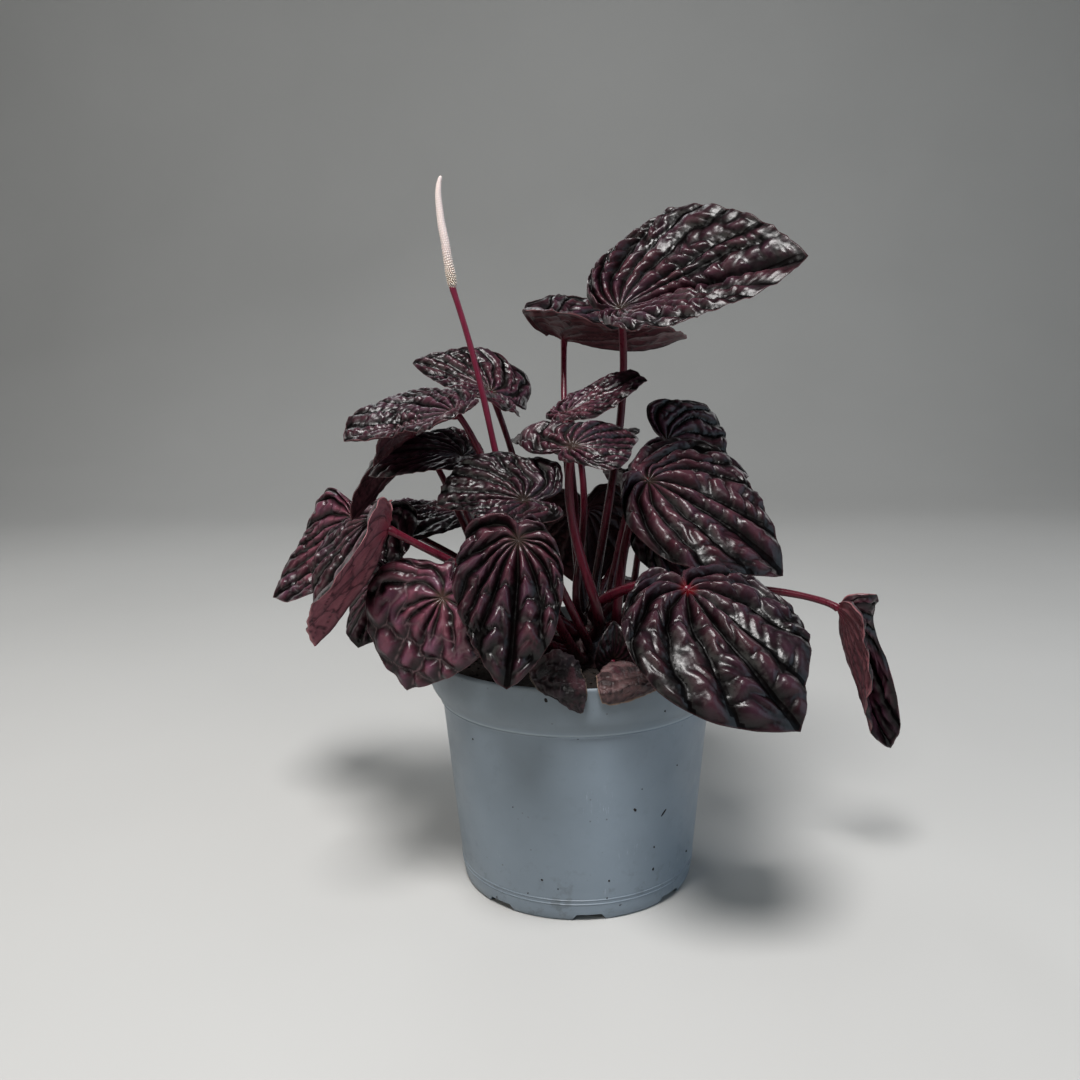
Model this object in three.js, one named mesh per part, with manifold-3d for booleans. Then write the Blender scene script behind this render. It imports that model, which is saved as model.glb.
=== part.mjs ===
import * as THREE from 'three';
import { mergeVertices } from 'three/addons/utils/BufferGeometryUtils.js';
import Module from 'manifold-3d';

// Potted foliage plant: a ribbed, heart-leaved rosette in a plastic nursery pot.
// Millimetres, +Z up. The origin is on the floor, on the axis of the pot.
// The front of the plant looks along -Y.

// ---- driving dimensions: pot ----
const POT_HEIGHT = 96.6;
const RIM_RADIUS = 60.0;
const BASE_RADIUS = 46.0;
const FOOT_HEIGHT = 4.6;
const FLOOR_THICKNESS = 1.4;
const POT_SEGMENTS = 60;
const NOTCH_COUNT = 8;
const NOTCH_OFFSET_DEG = 3.5;
const NOTCH_WIDTH_FOOT = 13.5;
const NOTCH_WIDTH_TOP = 9.5;
const NOTCH_HEIGHT = 2.8;
const DRAIN_RADIUS = 3.4;
const DRAIN_CIRCLE = 37.0;

// ---- driving dimensions: soil, crown, leaves, flower ----
const SOIL_GAP = 0.5;
const SOIL_LEVEL = 90.2;
const CROWN_CENTRE = [5.0, -4.0, 88.0];
const CROWN_RADII = [12.5, 12.5, 23.0];
const CROWN_FOOT = 91.2;
const BLADE_THICKNESS = 1.5;
const BLADE_SIDES = 20;
const STEM_SIDES = 6;
const STEM_STEPS = 9;
const SPIKE_RADIUS_FOOT = 1.8;
const SPIKE_RADIUS_TIP = 0.9;

// ---- materials ----
const mat = (color, roughness, metalness = 0) =>
  new THREE.MeshStandardMaterial({ color, roughness, metalness });
const potMat = mat(0x73828f, 0.5);
const soilMat = mat(0x1c1613, 0.95);
const bladeMat = mat(0x3c1e28, 0.35);
const stemMat = mat(0x741c36, 0.4);
const crownMat = mat(0x55202c, 0.6);
const witheredMat = mat(0x4a3330, 0.7);
const flowerMat = mat(0xd7bcb0, 0.7);
const stalkMat = mat(0x6a1a33, 0.4);

const root = new THREE.Group();
const addMesh = (name, geometry, material) => {
  const m = new THREE.Mesh(geometry, material);
  m.name = name;
  root.add(m);
  return m;
};

// ---- solids for joining and cutting ----
const wasm = await Module();
wasm.setup();
const solid = (geometry) => {
  let g = geometry.clone();
  for (const k of Object.keys(g.attributes)) if (k !== 'position') g.deleteAttribute(k);
  g = mergeVertices(g, 1e-4);
  return new wasm.Manifold(new wasm.Mesh({
    numProp: 3,
    vertProperties: new Float32Array(g.attributes.position.array),
    triVerts: new Uint32Array(g.index.array),
  }));
};
const geometryOf = (manifold) => {
  const m = manifold.getMesh();
  const g = new THREE.BufferGeometry();
  g.setAttribute('position', new THREE.BufferAttribute(new Float32Array(m.vertProperties), 3));
  g.setIndex(new THREE.BufferAttribute(new Uint32Array(m.triVerts), 1));
  g.computeVertexNormals();
  return g;
};

// A profile of [radius, height] pairs turned about Z.
const turned = (profile, segments) => {
  const g = new THREE.LatheGeometry(profile.map(([r, z]) => new THREE.Vector2(r, z)), segments);
  g.rotateX(Math.PI / 2);
  return g;
};

// ---- pot: a turned shell with a foot ring, a raised floor and a flared collar ----
const potProfile = [
  [0, FOOT_HEIGHT], [44.0, FOOT_HEIGHT], [43.8, 0], [BASE_RADIUS, 0], [47.0, 1.6], [47.5, 4.0],
  [54.1, 76.3], [54.5, 76.8], [56.0, 79.0], [58.0, 82.0], [59.3, 86.0], [59.8, 90.5],
  [RIM_RADIUS, 95.4], [59.6, POT_HEIGHT], [58.9, POT_HEIGHT], [58.6, 95.4], [58.3, 90.5],
  [57.8, 86.2], [56.4, 82.8], [54.4, 80.0], [52.8, 77.4], [46.5, 8.0],
  [45.6, FOOT_HEIGHT + FLOOR_THICKNESS], [0, FOOT_HEIGHT + FLOOR_THICKNESS],
];
let pot = solid(turned(potProfile, POT_SEGMENTS));
for (let i = 0; i < NOTCH_COUNT; i++) {
  const a = THREE.MathUtils.degToRad(NOTCH_OFFSET_DEG + (360 / NOTCH_COUNT) * i - 90);
  // a slanted notch through the foot ring
  const s = new THREE.Shape([
    new THREE.Vector2(-NOTCH_WIDTH_FOOT / 2 - 0.7, -1), new THREE.Vector2(NOTCH_WIDTH_FOOT / 2 + 0.7, -1),
    new THREE.Vector2(NOTCH_WIDTH_TOP / 2, NOTCH_HEIGHT), new THREE.Vector2(-NOTCH_WIDTH_TOP / 2, NOTCH_HEIGHT),
  ]);
  const notch = new THREE.ExtrudeGeometry(s, { depth: 12, bevelEnabled: false });
  notch.rotateX(Math.PI / 2);
  notch.rotateZ(Math.PI / 2);
  notch.translate(38, 0, 0);
  notch.rotateZ(a);
  pot = pot.subtract(solid(notch));
  // a drain hole through the floor behind it
  const drain = new THREE.CylinderGeometry(DRAIN_RADIUS, DRAIN_RADIUS, 6, 10);
  drain.rotateX(Math.PI / 2);
  drain.translate(DRAIN_CIRCLE, 0, FOOT_HEIGHT + FLOOR_THICKNESS / 2);
  drain.rotateZ(a);
  pot = pot.subtract(solid(drain));
}
addMesh('pot', geometryOf(pot), potMat);

// ---- soil: a plug that fills the pot, with an uneven top ----
const soilProfile = [
  [0, FOOT_HEIGHT + FLOOR_THICKNESS + 0.3], [45.0, FOOT_HEIGHT + FLOOR_THICKNESS + 0.3], [46.0, 8.4],
  [52.8 - SOIL_GAP, 77.7], [54.4 - SOIL_GAP, 80.6], [56.4 - SOIL_GAP, 83.2], [57.8 - SOIL_GAP - 0.1, 86.6],
  [58.0 - SOIL_GAP, 89.0], [49, SOIL_LEVEL], [37, SOIL_LEVEL - 0.4], [22, SOIL_LEVEL + 0.2], [0, SOIL_LEVEL + 0.4],
];
const soil = turned(soilProfile, 36);
{
  const p = soil.attributes.position;
  for (let i = 0; i < p.count; i++) {
    const x = p.getX(i), y = p.getY(i), z = p.getZ(i), r = Math.hypot(x, y);
    if (z > SOIL_LEVEL - 0.8 && r > 20 && r < 55) {
      const a = Math.atan2(y, x);
      p.setZ(i, z + 0.45 * Math.sin(3 * a + r) + 0.3 * Math.cos(5 * a - r * 0.6));
    }
  }
}
addMesh('soil', soil, soilMat);

// ---- crown: the low mound of short shoots that every leaf stalk leaves ----
{
  const [cx, cy, cz] = CROWN_CENTRE, [rx, , rz] = CROWN_RADII;
  const z0 = (CROWN_FOOT - cz) / rz;
  const a0 = Math.asin(z0);
  const prof = [[0, CROWN_FOOT]];
  for (let i = 0; i <= 6; i++) {
    const a = a0 + (Math.PI / 2 - a0) * (i / 6);
    prof.push([i === 6 ? 0 : rx * Math.cos(a), cz + rz * Math.sin(a)]);
  }
  const g = turned(prof, 16);
  g.translate(cx, cy, 0);
  addMesh('crown', g, crownMat);
}

// ---- leaf outline: half of a heart, seen flat, with the stalk at (0, 0) and the tip at (1, 0) ----
const HEART_U = [-0.10, -0.20, -0.28, -0.31, -0.27, -0.13, 0.08, 0.30, 0.50, 0.68, 0.83, 0.935, 1.0];
const HEART_V = [0.0, 0.045, 0.13, 0.25, 0.37, 0.485, 0.545, 0.53, 0.45, 0.33, 0.195, 0.08, 0.0];
const heart = [];
for (let i = 0; i < 400; i++) {
  const t = (HEART_U.length - 1) * i / 399, k = Math.min(Math.floor(t), HEART_U.length - 2), f = t - k;
  const u = HEART_U[k] + (HEART_U[k + 1] - HEART_U[k]) * f, v = HEART_V[k] + (HEART_V[k + 1] - HEART_V[k]) * f;
  heart.push([Math.atan2(v, u), Math.hypot(u, v)]);
}
heart.sort((a, b) => a[0] - b[0]);
const heartRadius = (theta) => {
  const t = Math.abs(((theta + Math.PI) % (2 * Math.PI) + 2 * Math.PI) % (2 * Math.PI) - Math.PI);
  let i = 1;
  while (i < heart.length - 1 && heart[i][0] < t) i++;
  const [a0, r0] = heart[i - 1], [a1, r1] = heart[i];
  return a1 - a0 < 1e-9 ? r1 : r0 + (r1 - r0) * Math.min(1, Math.max(0, (t - a0) / (a1 - a0)));
};
// Each leaf's own outline: a smooth factor on the heart, at evenly spaced angles.
const edgeFactor = (edge, theta) => {
  const n = edge.length;
  const x = (((theta % (2 * Math.PI)) + 2 * Math.PI) % (2 * Math.PI)) / (2 * Math.PI) * n;
  const i = Math.floor(x), t = x - i;
  const [a, b, c, d] = [-1, 0, 1, 2].map((k) => edge[(i + k + n) % n]);
  return Math.exp(0.5 * (2 * b + (c - a) * t + (2 * a - 5 * b + 4 * c - d) * t * t + (3 * b - a - 3 * c + d) * t * t * t));
};
// Flat (u, v) to the bent leaf: the two halves fold about the midrib, the blade curls across,
// bends along its length, twists and sweeps sideways. h is the height above the middle of the blade.
const bent = (leaf, u, v, h) => {
  const L = leaf.len, [foldLeft, foldRight, curl, droop, twist, sweep] = leaf.shape;
  const w = Math.abs(v), side = Math.sign(v), a = v >= 0 ? foldLeft : foldRight;
  const k = Math.abs(curl / L) < 1e-6 ? 1e-6 : curl / L, e = 0.05 * L;
  const across = side * (Math.sin(a + k * w) - Math.sin(a)) / k + sweep * u * u / L;
  const rise = ((Math.cos(a) - Math.cos(a + k * w)) / k) * (w / (w + e)) + h;
  const q = Math.abs(droop) < 1e-6 ? 1e-6 / L : droop / L, t = twist * u / L;
  const y = across * Math.cos(t) - rise * Math.sin(t), z = across * Math.sin(t) + rise * Math.cos(t);
  return [Math.sin(q * u) / q + z * Math.sin(q * u), y, -(1 - Math.cos(q * u)) / q + z * Math.cos(q * u)];
};
// A blade is a flattened ball: its poles are at the stalk, its equator is the leaf's edge.
const bladeGeometry = (leaf, sides = BLADE_SIDES) => {
  const g = new THREE.SphereGeometry(1, sides, 4);
  for (const k of ['normal', 'uv']) g.deleteAttribute(k);
  const X = new THREE.Vector3(...leaf.dir), Z = new THREE.Vector3(...leaf.nor).normalize();
  X.addScaledVector(Z, -X.dot(Z)).normalize();
  const Y = new THREE.Vector3().crossVectors(Z, X);
  const p = g.attributes.position;
  for (let i = 0; i < p.count; i++) {
    const x = p.getX(i), up = p.getY(i), y = -p.getZ(i);
    const s = Math.hypot(x, y), edge = Math.abs(up) < 1e-6, pole = s < 1e-6;
    const theta = Math.atan2(y, x), ring = pole ? 0 : edge ? 1 : 0.58;
    const r = leaf.len * heartRadius(theta) * edgeFactor(leaf.edge, theta) * ring;
    const h = edge ? 0 : Math.sign(up) * BLADE_THICKNESS / 2;
    const [a, b, c] = pole ? bent(leaf, 0, 0, h) : bent(leaf, r * Math.cos(theta), r * Math.sin(theta), h);
    const P = new THREE.Vector3(...leaf.at).addScaledVector(X, a).addScaledVector(Y, b).addScaledVector(Z, c);
    p.setXYZ(i, P.x, P.y, P.z);
  }
  const m = mergeVertices(g, 1e-4);
  m.computeVertexNormals();
  return m;
};
// A tapered round stalk along a curve.
const stalkGeometry = (curve, r0, r1, sides = STEM_SIDES, steps = STEM_STEPS) => {
  const ring = [];
  for (let i = 0; i < sides; i++) {
    const a = (2 * Math.PI * i) / sides;
    ring.push(new THREE.Vector2(r0 * Math.cos(a), r0 * Math.sin(a)));
  }
  const g = new THREE.ExtrudeGeometry(new THREE.Shape(ring), { steps, bevelEnabled: false, extrudePath: curve });
  for (const k of ['normal', 'uv']) g.deleteAttribute(k);
  const centres = curve.getSpacedPoints(steps), p = g.attributes.position, v = new THREE.Vector3();
  for (let i = 0; i < p.count; i++) {
    v.fromBufferAttribute(p, i);
    let best = 0, bd = Infinity;
    centres.forEach((c, j) => { const d = Math.abs(c.distanceTo(v) - r0); if (d < bd) { bd = d; best = j; } });
    const f = 1 + (r1 / r0 - 1) * (best / steps);
    v.sub(centres[best]).multiplyScalar(f).add(centres[best]);
    p.setXYZ(i, v.x, v.y, v.z);
  }
  const m = mergeVertices(g, 1e-4);
  m.computeVertexNormals();
  return m;
};
const bezier = (pts) => new THREE.CubicBezierCurve3(...pts.map((q) => new THREE.Vector3(...q)));

// at: where the stalk meets the blade. len: stalk to tip. dir, nor: the blade's length and its
// upper face there. shape: fold of the two halves, curl across, droop, twist (radians), sweep.
// stem: the stalk's curve, crown to blade, then its radius at each end.
const LEAVES = [
  { no: '01', at: [18.5, -1.9, 229.4], len: 70.2, dir: [0.9755, -0.1271, 0.1798], nor: [-0.2202, -0.5478, 0.8071],
    shape: [0.299, 0.479, -0.246, -0.308, 0.287, -0.059], edge: [0.02, 0.11, 0.16, 0.19, 0.1, -0.08, -0.21, -0.44, -0.55, -0.52, -0.54, -0.74, -0.93, -0.9, -0.65, -0.34, -0.22, -0.17, -0.16, -0.05],
    stem: [[6.9, -4.0, 112.5], [12.4, 0.1, 150.7], [25.9, 30.0, 190.2], [18.7, -1.0, 228.2], 1.95, 1.5] },
  { no: '02', at: [-1.5, 42.3, 217.9], len: 59.9, dir: [0.9509, 0.1049, -0.2913], nor: [0.2706, 0.1756, 0.9465],
    shape: [0.821, 0.149, -0.067, -0.716, -0.045, -0.001], edge: [-0.1, -0.08, -0.01, 0.1, 0.19, 0.2, 0.15, 0.07, 0.16, 0.16, 0.12, 0.17, 0.21, 0.1, 0.14, 0.05, 0.0, 0.02, 0.1, 0.02],
    stem: [[3.3, 2.2, 110.1], [-1.0, 15.2, 154.9], [-3.9, 10.4, 168.5], [-2.0, 41.9, 216.5], 1.7, 1.25] },
  { no: '03', at: [-1.8, -3.1, 189.9], len: 33.1, dir: [0.9278, -0.0195, 0.3725], nor: [-0.373, -0.038, 0.9271],
    shape: [0.317, 0.016, -0.339, -0.013, 0.318, 0.023], edge: [0.0, 0.14, 0.09, -0.01, -0.02, 0.01, -0.04, -0.09, -0.09, -0.09, -0.13, -0.22, -0.32, -0.32, -0.22, -0.07, 0.06, -0.0, -0.04, -0.0],
    stem: [[2.0, -9.7, 109.3], [-5.3, -23.8, 126.2], [12.0, -2.1, 147.2], [-1.4, -3.0, 188.5], 1.65, 1.2] },
  { no: '04', at: [-1.0, -35.0, 180.0], len: 27.1, dir: [0.9142, 0.2691, 0.303], nor: [-0.1065, -0.5619, 0.8203],
    shape: [0.223, 0.122, -0.249, 0.489, 0.099, -0.049], edge: [-0.0, -0.05, -0.17, -0.3, -0.29, -0.01, 0.36, 0.6, 0.65, 0.67, 0.48, 0.15, -0.19, -0.35, -0.32, -0.1, 0.21, 0.2, 0.1, -0.01],
    stem: [[7.3, -14.2, 103.6], [13.7, -42.8, 117.6], [-7.6, -13.7, 143.0], [-1.3, -34.0, 178.4], 2.1, 1.5] },
  { no: '05', at: [39.7, 20.0, 176.1], len: 37.3, dir: [0.9138, -0.0892, -0.3962], nor: [0.1936, -0.7619, 0.618],
    shape: [0.126, 0.068, -0.141, 0.047, -0.341, 0.037], edge: [-0.01, -0.16, 0.07, 0.22, 0.26, 0.11, 0.07, 0.11, 0.14, -0.08, -0.27, -0.41, -0.33, -0.2, -0.09, -0.01, 0.05, 0.1, 0.13, 0.12],
    stem: [[10.3, 5.2, 103.3], [17.2, 17.3, 109.7], [21.9, 28.0, 165.3], [37.3, 21.1, 174.7], 1.65, 1.2] },
  { no: '06', at: [28.5, -13.9, 164.3], len: 63.1, dir: [0.8237, -0.4784, -0.3042], nor: [-0.072, -0.6205, 0.7809],
    shape: [-0.042, 0.092, -0.381, 0.555, -0.024, -0.039], edge: [0.01, -0.03, -0.06, -0.04, 0.03, 0.03, -0.09, -0.31, -0.38, -0.21, -0.13, -0.42, -0.77, -0.89, -0.78, -0.54, -0.3, -0.13, -0.01, -0.0],
    stem: [[15.5, -8.9, 102.9], [16.1, -24.8, 111.1], [16.9, -7.3, 146.4], [28.2, -12.6, 163.0], 2.1, 1.5] },
  { no: '07', at: [37.2, -61.4, 132.7], len: 62.1, dir: [0.3977, -0.829, -0.3931], nor: [-0.0191, -0.4358, 0.8998],
    shape: [-0.151, 0.106, -0.275, 0.772, 0.119, 0.18], edge: [-0.0, -0.03, 0.02, 0.04, 0.0, -0.1, -0.32, -0.63, -0.73, -0.56, -0.28, -0.12, -0.25, -0.43, -0.4, -0.26, -0.09, 0.06, 0.16, 0.12],
    stem: [[8.4, -11.2, 108.6], [-0.8, -24.3, 119.8], [30.7, -30.2, 132.5], [36.4, -57.0, 131.8], 2.2, 1.6] },
  { no: '08', at: [103.4, -15.0, 112.5], len: 56.4, dir: [0.1745, 0.585, -0.7921], nor: [0.916, -0.3916, -0.0874],
    shape: [1.354, 0.827, 0.0, -1.087, 0.441, -0.409], edge: [0.05, 0.12, -0.45, -0.71, -0.73, -0.66, -0.49, -0.39, -0.59, -0.81, -0.71, -0.43, -0.2, -0.34, -0.42, -0.37, -0.25, -0.1, -0.02, 0.01],
    stem: [[11.4, -1.7, 109.0], [23.3, -5.0, 127.6], [92.9, -8.6, 119.6], [102.2, -14.6, 112.9], 1.9, 1.35] },
  { no: '09', at: [-20.9, -66.3, 151.8], len: 50.1, dir: [-0.0321, -0.5198, -0.8537], nor: [-0.1053, -0.8476, 0.5201],
    shape: [0.036, -0.007, -0.453, 0.42, 0.009, -0.084], edge: [0.02, -0.04, -0.27, -0.48, -0.64, -0.75, -0.81, -0.78, -0.57, -0.22, -0.01, -0.14, -0.27, -0.29, -0.27, -0.27, -0.21, -0.13, -0.08, -0.03],
    stem: [[2.2, -16.8, 94.6], [-1.3, -33.5, 97.4], [-18.9, -51.3, 145.4], [-20.7, -64.8, 151.1], 2.1, 1.5] },
  { no: '10', at: [-49.3, -44.0, 126.7], len: 37.6, dir: [-0.5166, -0.2079, -0.8306], nor: [-0.2919, -0.8692, 0.3991],
    shape: [0.063, 0.203, -0.281, 0.555, -0.141, 0.046], edge: [0.02, 0.04, 0.07, 0.11, 0.16, 0.12, 0.08, 0.11, 0.21, 0.38, 0.55, 0.52, -0.08, -0.09, 0.09, 0.27, 0.31, 0.25, 0.19, 0.11],
    stem: [[-1.7, -14.7, 97.4], [-9.4, -26.8, 100.8], [-41.4, -28.6, 122.2], [-48.5, -42.5, 126.2], 1.9, 1.4] },
  { no: '11', at: [-19.3, -41.4, 161.6], len: 31.8, dir: [-0.9987, 0.0295, 0.0421], nor: [0.0153, -0.6111, 0.7914],
    shape: [0.397, 0.252, -0.074, 0.223, -0.017, -0.019], edge: [0.01, -0.17, -0.12, -0.08, -0.04, -0.0, 0.07, 0.2, 0.37, 0.56, 0.58, 0.53, 0.36, 0.37, 0.27, 0.11, 0.22, 0.24, 0.25, 0.17],
    stem: [[5.1, -16.1, 99.1], [5.1, -33.2, 104.1], [-12.0, -26.9, 136.9], [-18.9, -40.5, 160.0], 1.8, 1.3] },
  { no: '12', at: [-43.0, -7.9, 174.4], len: 33.0, dir: [-0.9466, -0.266, 0.1824], nor: [0.2643, -0.3154, 0.9114],
    shape: [0.219, 0.153, -0.031, 0.6, -0.079, 0.05], edge: [0.14, 0.21, 0.07, -0.02, -0.04, -0.03, -0.02, -0.01, 0.0, 0.01, 0.02, 0.03, 0.02, -0.03, 0.08, 0.14, 0.01, -0.04, -0.06, -0.03],
    stem: [[-4.3, -3.6, 105.7], [-15.1, -3.2, 112.3], [-50.6, 2.8, 139.7], [-43.3, -7.5, 173.0], 1.65, 1.2] },
  { no: '13', at: [-47.5, 33.0, 145.5], len: 36.2, dir: [-0.9024, -0.3981, 0.1647], nor: [0.2052, -0.0612, 0.9768],
    shape: [0.179, 0.004, -0.507, 0.352, -0.251, 0.023], edge: [0.05, 0.19, 0.37, 0.21, 0.0, -0.07, -0.07, -0.05, -0.03, -0.01, -0.0, -0.0, -0.0, 0.0, 0.01, 0.03, 0.06, 0.1, 0.14, 0.07],
    stem: [[-1.6, 7.3, 95.0], [-6.7, 15.0, 109.4], [-35.8, 24.1, 128.0], [-46.2, 32.9, 143.0], 1.65, 1.2] },
  { no: '14', at: [-45.2, -22.8, 191.7], len: 41.9, dir: [-0.9445, -0.0635, -0.3222], nor: [-0.3036, -0.2049, 0.9305],
    shape: [0.366, 0.355, -0.417, -0.271, -0.182, -0.022], edge: [-0.01, -0.16, -0.2, -0.1, 0.07, 0.15, 0.07, -0.06, -0.14, -0.15, -0.13, -0.12, -0.15, -0.21, -0.15, 0.03, 0.18, 0.19, 0.18, 0.18],
    stem: [[-4.3, -11.2, 100.2], [-27.9, -36.7, 108.9], [-22.0, -25.4, 161.7], [-42.6, -22.2, 190.3], 1.65, 1.2] },
  { no: '15', at: [-33.1, 26.0, 197.0], len: 35.5, dir: [-0.8576, 0.1137, 0.5016], nor: [0.4189, -0.4112, 0.8096],
    shape: [0.292, 0.233, -0.001, 0.475, -0.454, -0.075], edge: [0.03, -0.11, -0.16, -0.12, -0.04, 0.06, 0.18, 0.3, 0.41, 0.46, 0.57, 0.65, 0.35, 0.37, 0.42, 0.23, 0.19, 0.08, 0.01, -0.03],
    stem: [[-3.4, 1.9, 104.0], [-14.2, 9.4, 110.5], [-16.4, 25.2, 153.3], [-31.7, 25.9, 193.3], 1.65, 1.2] },
  { no: '16', at: [-96.1, 46.4, 140.6], len: 48.5, dir: [-0.5006, -0.0607, -0.8635], nor: [-0.644, -0.6405, 0.4184],
    shape: [0.254, 0.241, -0.194, -0.632, -0.012, -0.118], edge: [0.01, 0.16, -0.04, -0.05, -0.03, 0.01, 0.03, 0.02, -0.06, -0.25, -0.51, -0.72, -0.81, -0.63, -0.1, 0.01, -0.09, -0.12, -0.13, -0.03],
    stem: [[-3.2, 4.8, 99.5], [-23.3, 8.9, 117.1], [-80.8, 42.1, 145.6], [-93.4, 48.2, 141.5], 1.65, 1.2] },
  { no: '17', at: [-69.1, -39.3, 151.5], len: 48.7, dir: [-0.3476, -0.0523, -0.9362], nor: [-0.9333, 0.1154, 0.34],
    shape: [0.333, 0.472, -0.746, -0.385, 0.216, 0.176], edge: [0.01, 0.1, 0.17, 0.18, 0.05, -0.01, -0.04, -0.11, -0.21, -0.3, -0.37, -0.45, -0.46, -0.33, -0.08, 0.16, 0.21, 0.07, -0.02, -0.03],
    stem: [[-1.4, -11.6, 104.7], [-9.4, -13.3, 114.2], [-50.3, -39.1, 141.0], [-67.3, -39.5, 151.0], 1.9, 1.4] },
  { no: '18', at: [-64.4, 8.9, 180.5], len: 39.0, dir: [-0.6314, -0.1652, -0.7576], nor: [-0.769, 0.2596, 0.5842],
    shape: [0.106, 0.152, -0.082, 0.053, 0.039, 0.011], edge: [0.07, 0.06, -0.11, -0.03, 0.12, 0.13, 0.07, -0.03, -0.18, -0.34, -0.45, -0.35, -0.21, -0.1, -0.03, -0.01, 0.01, 0.04, 0.11, 0.19],
    stem: [[-7.3, -5.1, 98.4], [-39.0, -8.1, 106.9], [-45.2, 3.4, 168.0], [-63.2, 8.6, 179.7], 1.65, 1.2] },
  { no: '19', at: [-73.5, -17.4, 127.7], len: 27.6, dir: [-0.3239, -0.5036, -0.8009], nor: [-0.3308, -0.7329, 0.5946],
    shape: [0.096, -0.016, -0.484, 0.213, -0.073, -0.078], edge: [0.02, 0.06, 0.04, 0.02, 0.01, -0.0, -0.0, -0.0, -0.0, 0.0, 0.0, 0.0, -0.0, -0.01, -0.03, -0.05, -0.06, -0.02, -0.03, 0.09],
    stem: [[-6.7, -9.5, 95.7], [-32.1, -21.6, 100.9], [-57.2, -4.4, 127.3], [-71.1, -15.5, 127.6], 1.65, 1.2] },
  { no: '20', at: [-82.1, 12.9, 146.1], len: 42.5, dir: [-0.5773, -0.5077, -0.6395], nor: [-0.3224, -0.5778, 0.7498],
    shape: [0.086, -0.127, -0.462, 0.436, -0.097, -0.03], edge: [0.04, 0.04, 0.06, 0.08, 0.09, 0.06, 0.04, 0.02, 0.01, 0.01, 0.01, -0.01, -0.05, -0.13, -0.24, -0.29, -0.1, 0.0, 0.01, 0.03],
    stem: [[-8.1, -2.4, 93.9], [-42.0, -6.0, 122.0], [-79.0, 14.5, 124.0], [-81.3, 14.1, 145.1], 1.65, 1.2] },
  { no: '21', at: [32.1, -2.0, 146.7], len: 34.0, dir: [0.6578, -0.3967, -0.6403], nor: [0.1331, -0.7755, 0.6172],
    shape: [0.104, 0.133, -0.373, 0.285, 0.019, -0.003], edge: [0.05, 0.02, -0.0, -0.02, -0.03, -0.03, -0.01, 0.0, 0.01, 0.01, -0.02, -0.09, -0.2, -0.34, -0.42, -0.22, -0.09, -0.01, 0.07, 0.07],
    stem: [[15.0, -2.7, 104.3], [28.4, -0.9, 111.3], [23.2, 14.5, 138.2], [31.3, -0.4, 145.9], 1.65, 1.2] },
  { no: '22', at: [34.4, 33.1, 112.4], len: 51.7, dir: [0.4647, 0.8756, -0.1319], nor: [-0.0095, 0.1539, 0.988],
    shape: [0.133, 0.33, -0.424, 0.642, -0.02, -0.014], edge: [0.04, 0.03, 0.01, 0.02, 0.01, -0.01, 0.01, 0.08, 0.13, 0.11, 0.06, 0.07, 0.07, 0.07, -0.04, -0.03, -0.07, 0.02, 0.01, 0.05],
    stem: [[13.2, 5.1, 98.8], [16.5, 8.7, 100.1], [30.3, 26.1, 107.9], [32.6, 30.0, 110.4], 1.65, 1.2] },
  { no: '23', at: [40.0, 61.0, 153.0], len: 52.0, dir: [0.52, 0.76, -0.38], nor: [0.3, 0.35, 0.89],
    shape: [0.12, 0.1, -0.3, 0.32, -0.06, -0.02], edge: [0.03, 0.02, 0.02, 0.02, 0.01, 0.06, 0.02, 0.03, -0.05, 0.0, 0.04, 0.05, 0.01, -0.08, -0.08, -0.1, -0.04, -0.04, 0.0, -0.01],
    stem: [[10.1, 8.5, 96.0], [2.5, 20.8, 118.0], [41.0, 52.0, 137.1], [39.6, 60.6, 151.9], 1.65, 1.2] },
  { no: '24', at: [6.5, 38.0, 145.0], len: 42.5, dir: [0.06, 0.45, -0.89], nor: [0.0, 0.893, 0.45],
    shape: [0.12, 0.12, -0.3, 0.15, 0.0, 0.03], edge: [0.02, 0.04, 0.06, -0.04, -0.05, -0.02, 0.0, -0.08, -0.14, -0.14, -0.07, 0.02, 0.03, -0.01, -0.08, -0.05, -0.06, -0.06, -0.09, -0.03],
    stem: [[2.8, 8.3, 97.7], [3.6, 17.5, 105.5], [3.2, 22.7, 131.9], [6.5, 36.9, 144.5], 1.65, 1.2] },
  { no: '25', at: [0.0, 30.7, 174.2], len: 52.0, dir: [0.2037, 0.979, -0.0072], nor: [0.0015, 0.007, 1.0],
    shape: [0.166, 0.294, -0.295, 0.47, -0.105, 0.054], edge: [0.07, 0.04, 0.04, 0.05, 0.0, -0.05, -0.11, -0.04, -0.02, 0.02, 0.0, 0.01, -0.02, -0.02, -0.01, 0.02, 0.03, 0.02, 0.04, 0.06],
    stem: [[4.6, 5.7, 105.0], [5.2, 8.3, 111.9], [0.0, 20.1, 159.7], [0.1, 28.3, 172.0], 1.65, 1.2] },
  { no: '26', at: [-42.1, 17.7, 108.2], len: 55.0, dir: [-0.6967, 0.7166, -0.0321], nor: [-0.023, 0.0224, 0.9995],
    shape: [0.052, 0.299, -0.218, 0.727, -0.134, 0.039], edge: [0.01, 0.0, 0.02, -0.04, 0.03, 0.01, 0.07, 0.02, 0.09, 0.08, 0.05, -0.01, -0.01, 0.03, 0.08, 0.04, -0.07, -0.08, -0.03, 0.0],
    stem: [[-6.3, 1.8, 96.7], [-22.2, 10.0, 100.5], [-34.6, 12.9, 102.1], [-39.3, 15.9, 105.9], 1.65, 1.2] },
];
for (const leaf of LEAVES) {
  addMesh(`leaf_${leaf.no}_blade`, bladeGeometry(leaf), bladeMat);
  const [a, b, c, d, r0, r1] = leaf.stem;
  addMesh(`leaf_${leaf.no}_petiole`, stalkGeometry(bezier([a, b, c, d]), r0, r1), stemMat);
}

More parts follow.
